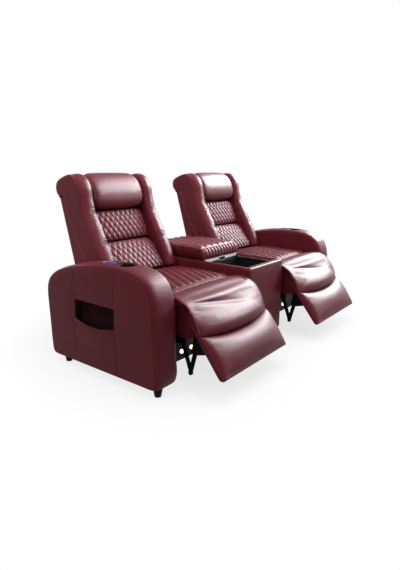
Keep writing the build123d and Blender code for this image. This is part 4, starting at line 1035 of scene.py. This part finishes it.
def armPanels(side):
    # leather panels sewn over the arm's outer side: before, above and behind the pocket, and its front
    sign, mid, face = hands[side], armMiddle[side], armShape["half"]
    rim = shrunk(armLoop(), np.array([430.0, 56.0]), 28.5)
    front, rear = evenly(frontSeam, 60), evenly(rearSeam, 60)
    low, high = rim[:, 1].min(), 413.0
    front, rear = (line[(line[:, 1] > low) & (line[:, 1] < top)] for line, top in ((front, 592), (rear, 566)))
    upFront, upRear = (line[line[:, 1] > high] for line in (front, rear))
    sill = np.stack([np.linspace(upRear[-1, 0], upFront[-1, 0], 40), np.full(40, high)], -1)
    shapes = {"front": np.concatenate([stretch(rim, front[-1], front[0]), front[1:-1]]),
              "upper": np.concatenate([stretch(rim, front[0], rear[0]), upRear, sill, upFront[::-1]]),
              "rear": np.concatenate([stretch(rim, rear[0], rear[-1]), rear[1:-1][::-1]])}
    rows = [(0, 1, -1.5), (0, 1, 0.2), (0.5, 1, 0.9), (1.4, 1, 1.3), (3.2, 1, 1.55), (8, 1, 1.75),
            (8, 0.9, 2.0), (8, 0.7, 2.5), (8, 0.4, 2.9), (8, 0.02, 3.0)]
    made = [drum(f"{side}_arm_{label}_panel", evenPolygon(shape, 260), rows,
                 lambda x, y, z: placed(mid + sign * (face + x), y, z)) for label, shape in shapes.items()]
    # the pocket's front swells towards its lip, and narrows downwards
    u, f = crowded(70, 0.9)[None, :], crowded(70, 0.9)[:, None]
    y0, y1 = pocket["front"] - 2.5 - 18 * (1 - f), pocket["back"] + 2.5 - 25 * (1 - f) ** 1.2
    y = y0 + (y1 - y0) * u
    top = lipHeight(u)
    z = low + 1 + (top - low - 1) * f
    border = np.minimum(np.minimum(u, 1 - u) * 300, np.minimum(f, 1 - f + 0.006) * 225)
    bulge = pocket["bulge"] * np.sin(np.pi * u)
    x = face - 1 + 3.2 * roundEdge(border / 3) + bulge * soft((f - 0.25) / 0.7) ** 1.4
    x = x - 1.6 * bell(z, top - 15, 1.8) + 0.6 * bell(z, top - 19, 3)      # hem under the lip
    made.append(pillow(f"{side}_pocket_front", placed(mid + sign * x, y, z),
                       placed(mid + sign * (face - 4), y, z)))
    u = np.linspace(0.004, 0.996, 60)
    line = placed(mid + sign * (face + 0.6 + pocket["bulge"] * np.sin(np.pi * u)),
                  pocket["front"] + (pocket["back"] - pocket["front"]) * u, lipHeight(u) + 0.5)
    made.append(tube(f"{side}_pocket_lip", line, 0.0026, (1, 0, 0)))
    return made


console = {"half": 212.0, "front": 4.0, "back": 830.0, "top": 527.0, "low": 60.0, "roll": 20.0, "block": 42.0}


def consoleParts():
    # padded front block with a piping, two side panels, a rear panel, the flat deck and the dust cloth below
    v = console
    f, w, low, top = v["front"], v["block"], v["low"], v["top"]
    middle = 290
    block = roundedBox(-v["half"], v["half"], low, top, [8, 8, v["roll"], v["roll"]], 260)
    rows = [(14, 0.02, f - 1), (14, 0.5, f - 1), (14, 0.85, f - 0.6), (14, 1, f), (8, 1, f + 0.8),
            (4, 1, f + 3), (1.5, 1, f + 7), (0.3, 1, f + 12), (0, 1, f + 17), (0, 1, f + w - 9),
            (1.5, 1, f + w - 4), (5, 1, f + w - 1), (9, 1, f + w), (12, 0.9, f + w), (12, 0.02, f + w)]
    covers = [drum("console_front_cover", block, rows, lambda y, x, z: placed(x, y, z), (0, middle))]
    edge = block[block[:, 1] > low + 6]
    edge = edge[np.argsort(np.arctan2(-edge[:, 0], edge[:, 1] - 100))]
    ridge = placed(edge[:, 0] * 0.985, f + 12, middle + (edge[:, 1] - middle) * 0.985)
    covers.append(tube("console_front_piping", ridge, 0.0022, (0, 1, 0)))
    outline = roundedBox(30, v["back"], low, top, [6, 6, 14, 14], 200)
    rows = [(8, 0.02, 188), (8, 0.9, 188), (4, 1, 188.4), (0, 1, 192), (0, 1, 207), (2, 1, 210.5),
            (5, 1, 212), (8, 0.9, 212.6), (8, 0.5, 213.4), (8, 0.02, 213.6)]
    for hand, sign in hands.items():
        covers.append(drum(f"console_{hand}_cover", outline, rows,
                           lambda x, y, z: placed(sign * x, y, z), (430, middle)))
    rows = [(8, 0.02, 806), (8, 0.9, 806), (3, 1, 807), (0, 1, 810), (0, 1, 824), (3, 1, 828.5), (8, 1, 830),
            (8, 0.5, 831), (8, 0.02, 831.2)]
    covers.append(drum("console_rear_cover", roundedBox(-200, 200, low + 2, top - 1, 10, 120), rows,
                       lambda y, x, z: placed(x, y, z), (0, middle)))
    cloths = []
    for name, half, y0, y1, z0, z1, sag in (("console_deck_cloth", 188.5, 344, 808, 490.5, 494.4, 0.45),
                                            ("console_dust_cloth", 190, 40, 812, 56.5, 60.5, -1.5)):
        x, y = np.linspace(-half, half, 60)[None, :], np.linspace(y0, y1, 70)[:, None]
        hang = sag * np.sin(np.pi * (y - y0) / (y1 - y0)) * np.cos(np.pi * x / 2 / half)
        cloths.append(pillow(name, placed(x, y, z1 + hang), placed(x, y, z0 + hang)))
    return covers, cloths


lidPad = {"half": 207.0, "diamondWide": 69.0, "diamondLong": 138.0, "puff": 6.5, "channel": 34.5,
          "channelPuff": 9.0, "rows": 190, "columns": 250}


def lidSkin():
    # section run from the underside up the front, back over the top and down behind, quilted as it goes
    v = lidPad
    fine = evenly([(352, 532.5), (347, 545), (345.5, 565), (351, 585), (368, 600), (400, 607.5), (500, 610.5),
                   (590, 611), (700, 609.5), (780, 605.5), (806, 600), (822, 587), (828.5, 568), (828, 548),
                   (825, 532.5)], 1200)
    run = lengthAlong(fine)
    s = np.linspace(0, run[-1], v["rows"])[:, None]
    line = sampled(fine, run, s[:, 0])
    out = leftOf(unit(np.gradient(line, axis=0)))
    x = (v["half"] * mirrored(v["columns"], 0.4))[None, :]
    border = v["half"] - np.abs(x)
    corner = run[np.argmin(np.abs(fine[:500, 1] - 603))]          # where the front edge turns to the top
    rear = run[600 + np.argmin(np.abs(fine[600:, 1] - 600))]
    quilt = diamonds(x, s - corner - 8, v["diamondWide"], v["diamondLong"])
    ribs = np.abs(np.cos(np.pi * x / v["channel"])) ** 0.8
    inFront = 1 - soft((s - corner + 5) / 10)
    onTop = soft((s - corner - 6) / 12) * soft((rear - 12 - s) / 16)
    lift = v["puff"] * quilt * onTop * soft((border - 12) / 14)
    channels = (ribs - 0.45) * inFront * soft(s / 20) * soft((corner - s) / 10 + 0.3)
    lift = lift + v["channelPuff"] * channels * soft((border - 8) / 10)
    lift = lift - 2.5 * bell(s, corner, 3.5) * soft((border - 4) / 8)
    lift = lift - 9 * (1 - roundEdge(border / 15)) + 1.4 * bell(border, 14, 1.8) - 1.2 * bell(border, 18, 1.7)
    lift = lift + 2.5 * soft(border / 120) * onTop
    y = line[:, :1] + out[:, :1] * lift
    z = np.maximum(line[:, 1:] + out[:, 1:] * lift, 532.2)
    # painted shade in the quilt's and the channels' valleys, along the front edge's turn and in the border
    # groove
    seamsAndShade = (1 - quilt) ** 7 * onTop + (1 - ribs) ** 3 * inFront + bell(s, corner, 5) + bell(border, 18, 3)
    underY = np.interp(s, [0, run[-1]], [352, 825])
    return pillow("lid_cushion", placed(x, y, z), placed(x, underY, 532.0), seamsAndShade)


def boxCovers(side):
    # leather over the front of the timber box, and its two returns along the sides
    mid = seatMiddle[side]
    outline = roundedBox(-289, 289, 285, 437, 9, 200)
    rows = [(8, 0.02, 19.5), (8, 0.9, 19.5), (0, 1, 19), (0, 1, 11), (1, 1, 7.4), (3, 1, 5.2), (7, 1, 4.1),
            (12, 1, 3.8), (12, 0.8, 3.1), (12, 0.02, 2.8)]
    made = [drum(side + "_box_cover", outline, rows, lambda y, x, z: placed(mid + x, y, z), centre=(0, 361))]
    outline = roundedBox(10, 110, 298, 393, 5, 80)
    rows = [(2, 0.02, 287.6), (0, 1, 287.6), (0, 1, 290.4), (1, 1, 291.4), (4, 1, 292), (4, 0.02, 292.4)]
    for hand, sign in hands.items():
        made.append(drum(f"{side}_box_{hand}_return", outline, rows,
                         lambda x, y, z: placed(mid + sign * x, y, z)))
    return made


def apronFlap(side, hand):
    # thin leather hanging from the box in front of the drive, slack between its tacks
    u, f = np.linspace(0, 1, 60)[None, :], np.linspace(0, 1, 14)[:, None]
    x = seatMiddle[side] + hands[hand] * (36 + 251 * u)
    wave = np.sin(np.pi * u * 5)
    z = 290 - 54 * f - 1.6 * wave ** 2 * f
    y = -1.2 - 0.9 * wave * f
    return pillow(f"{side}_apron_{hand}", placed(x, y - 1.1, z), placed(x, y + 1.1, z))


def boardCover(side):
    # leather turned round the edges of the legrest's board and stapled behind it
    mid = seatMiddle[side]
    outline = roundedBox(-322, 322, 38, 378.5, 26, 300)
    rows = [(0, 1, -11.9), (0, 1, -29), (0.6, 1, -30.3), (2.2, 1, -30.9), (5, 1, -31.1), (30, 1, -31.1),
            (36, 1, -31), (36, 1, -30.2), (3.4, 1, -30.2), (3.2, 1, -29.9), (3.2, 1, -12.2), (3.2, 1, -11.9)]
    return drum(side + "_board_cover", outline, rows,
                lambda n, x, s: placed(mid + x, *restToSeat(s, n)), hollow=True)


def panelGlow(side):
    # lit frame inlaid round the switch keys
    mid = armMiddle[side]
    rows = [(0, 1, 623.6), (0, 1, 624.4), (0.5, 1, 624.9), (5.2, 1, 624.9), (5.8, 1, 624.4), (5.8, 1, 623.6)]
    return drum(side + "_panel_light", centredBox(switches["light"], 6, 90), rows,
                lambda z, x, y: placed(mid + x, switches["y"] + y, z), hollow=True)


# cloth on a coarse copy of each pad, its moves carried to the fine grids of both seats
moves = {"chaise": sheetMoves(chaiseSheets, 56, 60, (chaise["rows"], chaise["columns"]), 0.003),
         "foot": sheetMoves(footSheets, 48, 60, (footPad["rows"], footPad["columns"]), 0.010),
         "roll": ringMoves(rollSurface, 110, 36, (rollPad["rows"], rollPad["around"]), 0.006),
         "head": ringMoves(headSurface, 56, 64, (headPad["rows"], headPad["around"]), 0.008)}
print("pads filled")

for side in seatMiddle:
    back, rest, head = side + "_back", side + "_legrest", side + "_headrest"
    chaiseCover, seam, pipes = chaiseSkin(side, moves["chaise"])
    for pipe in pipes:
        dress(pipe, "welt", bends=rest)
    for hand in hands:
        dress(gusset(side, hand), "shadedLeather", bends=rest)
    dress(chaiseCover, "leather", bends=rest, replaces=(side + "_calf_pad",))
    dress(stitches(side + "_seam_stitches", seam, 0.0150, 0.0105, 0.0009, (0, -0.1, 1), 0.42), "thread")
    dress(boardCover(side), "leather", rest)
    dress(footSkin(side, moves["foot"]), "leather", rest, replaces=(side + "_foot_pad",))
    dress(seatSkin(side), "quilt", replaces=(side + "_seat_cushion",))
    for hand in hands:
        dress(rollSkin(side, hand, moves["roll"]), "backLeatherPaintedLight", back,
              replaces=(side + "_bolsters",))
        dress(wingSkin(side, hand), "backLeatherPaintedLight", back, replaces=(side + "_back_shell",))
        for piece, finish in zip(wingSeam(side, hand), ("welt", "crease")):
            dress(piece, finish, back)
    dress(scrollSkin(side), "backLeatherPaintedLight", back)
    dress(rearSkin(side), "backLeatherPaintedLight", back)
    dress(innerSkin(side), "shadedLeather", back)
    dress(throatSkin(side), "shadedLeather", bends=back)
    for which in lumbarPads:
        dress(lumbarSkin(side, which), "backQuiltPaintedLight", back, replaces=(f"{side}_{which}_lumbar",))
    dress(headSkin(side, moves["head"]), "backLeatherPaintedLight", head, replaces=(side + "_headrest_pad",))
    dress(armSkin(side), None, replaces=(side + "_arm", "magazine_pockets"))
    for panel in armPanels(side) + boxCovers(side):
        dress(panel, "leather")
    for hand in hands:
        dress(apronFlap(side, hand), "shadedLeather")
    dress(panelGlow(side), "blueLight")
print("seats, backs and arms made")

covers, cloths = consoleParts()
for piece in covers:
    dress(piece, "leather", replaces=("console",) if piece is covers[0] else ())
for piece in cloths:
    dress(piece, "fleece")
dress(lidSkin(), "backQuiltPaintedLight", "lid", replaces=("lid_pad",))
print("console made")

finishOf = {"leather": "leather", "black_metal": "blackMetal", "timber": "timber", "zinc_metal": "zinc",
            "bright_strip": "strip", "black_plastic": "plastic", "gloss_black": "gloss", "lamp_lens": "lens",
            "drive_housing": "drive"}
for part in frame["record"]["subparts"]:
    shape = frame["nodes"][part["node"]]
    for slot in shape.material_slots:
        slot.material = finishes[finishOf[part["material_slot"]]]


studio = {"floor": 0.92, "bounce": 0.25, "ambient": 0.32, "least": 0.72, "fadeTo": 2.2}

floorMesh = bpy.data.meshes.new("floor")
floorMesh.from_pydata([(-30, -30, 0), (30, -30, 0), (30, 30, 0), (-30, 30, 0)], [], [(0, 1, 2, 3)])
floor = bpy.data.objects.new("floor", floorMesh)
bpy.context.scene.collection.objects.link(floor)
floorLook, tree, shader = material("paleFloor", Roughness=0.9, Specular_IOR_Level=0.0)


def shownRays(tree):          # rays that show the background: the camera's, mirrored and through glass
    ray = node(tree, "ShaderNodeLightPath").outputs
    shown = calculate(tree, "MAXIMUM", ray["Is Camera Ray"], ray["Is Transmission Ray"])
    return calculate(tree, "MAXIMUM", shown, ray["Is Glossy Ray"])


def mixedShaders(tree, factor, first, second):
    made = node(tree, "ShaderNodeMixShader")
    for socket, value in zip(made.inputs, (factor, first.outputs[0], second.outputs[0])):
        putIn(socket, value)
    return made.outputs[0]


# pale floor that keeps the shadow, and turns to plain white with distance from the seats
shown = shownRays(tree)
fed(shader, Base_Color=mixColour(tree, shown, (studio["bounce"],) * 3, (studio["floor"],) * 3))
away = fed(node(tree, "ShaderNodeVectorMath", operation="LENGTH"), Vector=objectPlace(tree)).outputs["Value"]
fade = calculate(tree, "POWER", calculate(tree, "DIVIDE", away, studio["fadeTo"]), 3.0)
fade = calculate(tree, "MULTIPLY", calculate(tree, "ADD", fade, studio["least"], clamp=True), shown)
fed(tree.nodes["Material Output"], Surface=mixedShaders(tree, fade, shader, node(tree, "ShaderNodeEmission")))
floorMesh.materials.append(floorLook)

world = bpy.data.worlds.new("studio")
world.use_nodes = True
tree = world.node_tree
plain = fed(tree.nodes["Background"], Color=(1, 1, 1, 1), Strength=studio["ambient"])
white = fed(node(tree, "ShaderNodeBackground"), Color=(1, 1, 1, 1))
fed(tree.nodes["World Output"], Surface=mixedShaders(tree, shownRays(tree), plain, white))
bpy.context.scene.world = world


def softbox(name, at, towards, size, watts, tint=(1, 1, 1), mirroredOnly=False):
    lamp = bpy.data.lights.new(name, "AREA")
    lamp.shape, lamp.size, lamp.size_y = "RECTANGLE", size[0], size[1]
    lamp.energy, lamp.color = watts, tint
    thing = bpy.data.objects.new(name, lamp)
    thing.location = at
    thing.rotation_euler = (Vector(towards) - Vector(at)).to_track_quat("-Z", "Y").to_euler()
    thing.visible_diffuse = not mirroredOnly
    bpy.context.scene.collection.objects.link(thing)


softbox("topLight", (-0.4, -0.8, 3.2), (0.0, 0.0, 0.4), (2.4, 2.0), 62)
softbox("sideLight", (3.3, -1.8, 2.2), (0.0, -0.2, 0.5), (2.6, 3.0), 80)
softbox("leftLight", (-2.4, 0.2, 2.4), (-0.8, 0.2, 0.8), (1.2, 1.2), 15)
softbox("sheenLight", (6.8, -1.4, 4.6), (-0.3, -0.3, 0.45), (4.4, 2.0), 4100, (0.97, 0.97, 1.0), True)

cameraPlace = {"at": (-2.6136, -1.7336, 1.1114), "yaw": 51.148, "pitch": 10.4324, "roll": -0.5652,
               "lens": 29.77, "shift": (0.0373, -0.0527)}
yaw, pitch, roll = (math.radians(cameraPlace[k]) for k in ("yaw", "pitch", "roll"))
level = np.array([math.sin(yaw), math.cos(yaw), 0.0])
forward = math.cos(pitch) * level - math.sin(pitch) * np.array([0, 0, 1.0])
right = np.array([math.cos(yaw), -math.sin(yaw), 0.0])
down = np.cross(forward, right)
right, down = (math.cos(roll) * right + math.sin(roll) * down,
               math.cos(roll) * down - math.sin(roll) * right)
camera = bpy.data.objects.new("camera", bpy.data.cameras.new("camera"))
turnTo = np.eye(4)
turnTo[:3, 0], turnTo[:3, 1], turnTo[:3, 2], turnTo[:3, 3] = right, -down, -forward, cameraPlace["at"]
camera.matrix_world = Matrix(turnTo.tolist())
camera.data.lens, camera.data.sensor_width = cameraPlace["lens"], 36.0
camera.data.shift_x, camera.data.shift_y = cameraPlace["shift"]
bpy.context.scene.collection.objects.link(camera)
bpy.context.scene.camera = camera
bpy.context.scene.view_settings.view_transform = "Standard"
print("floor, lights and camera set")
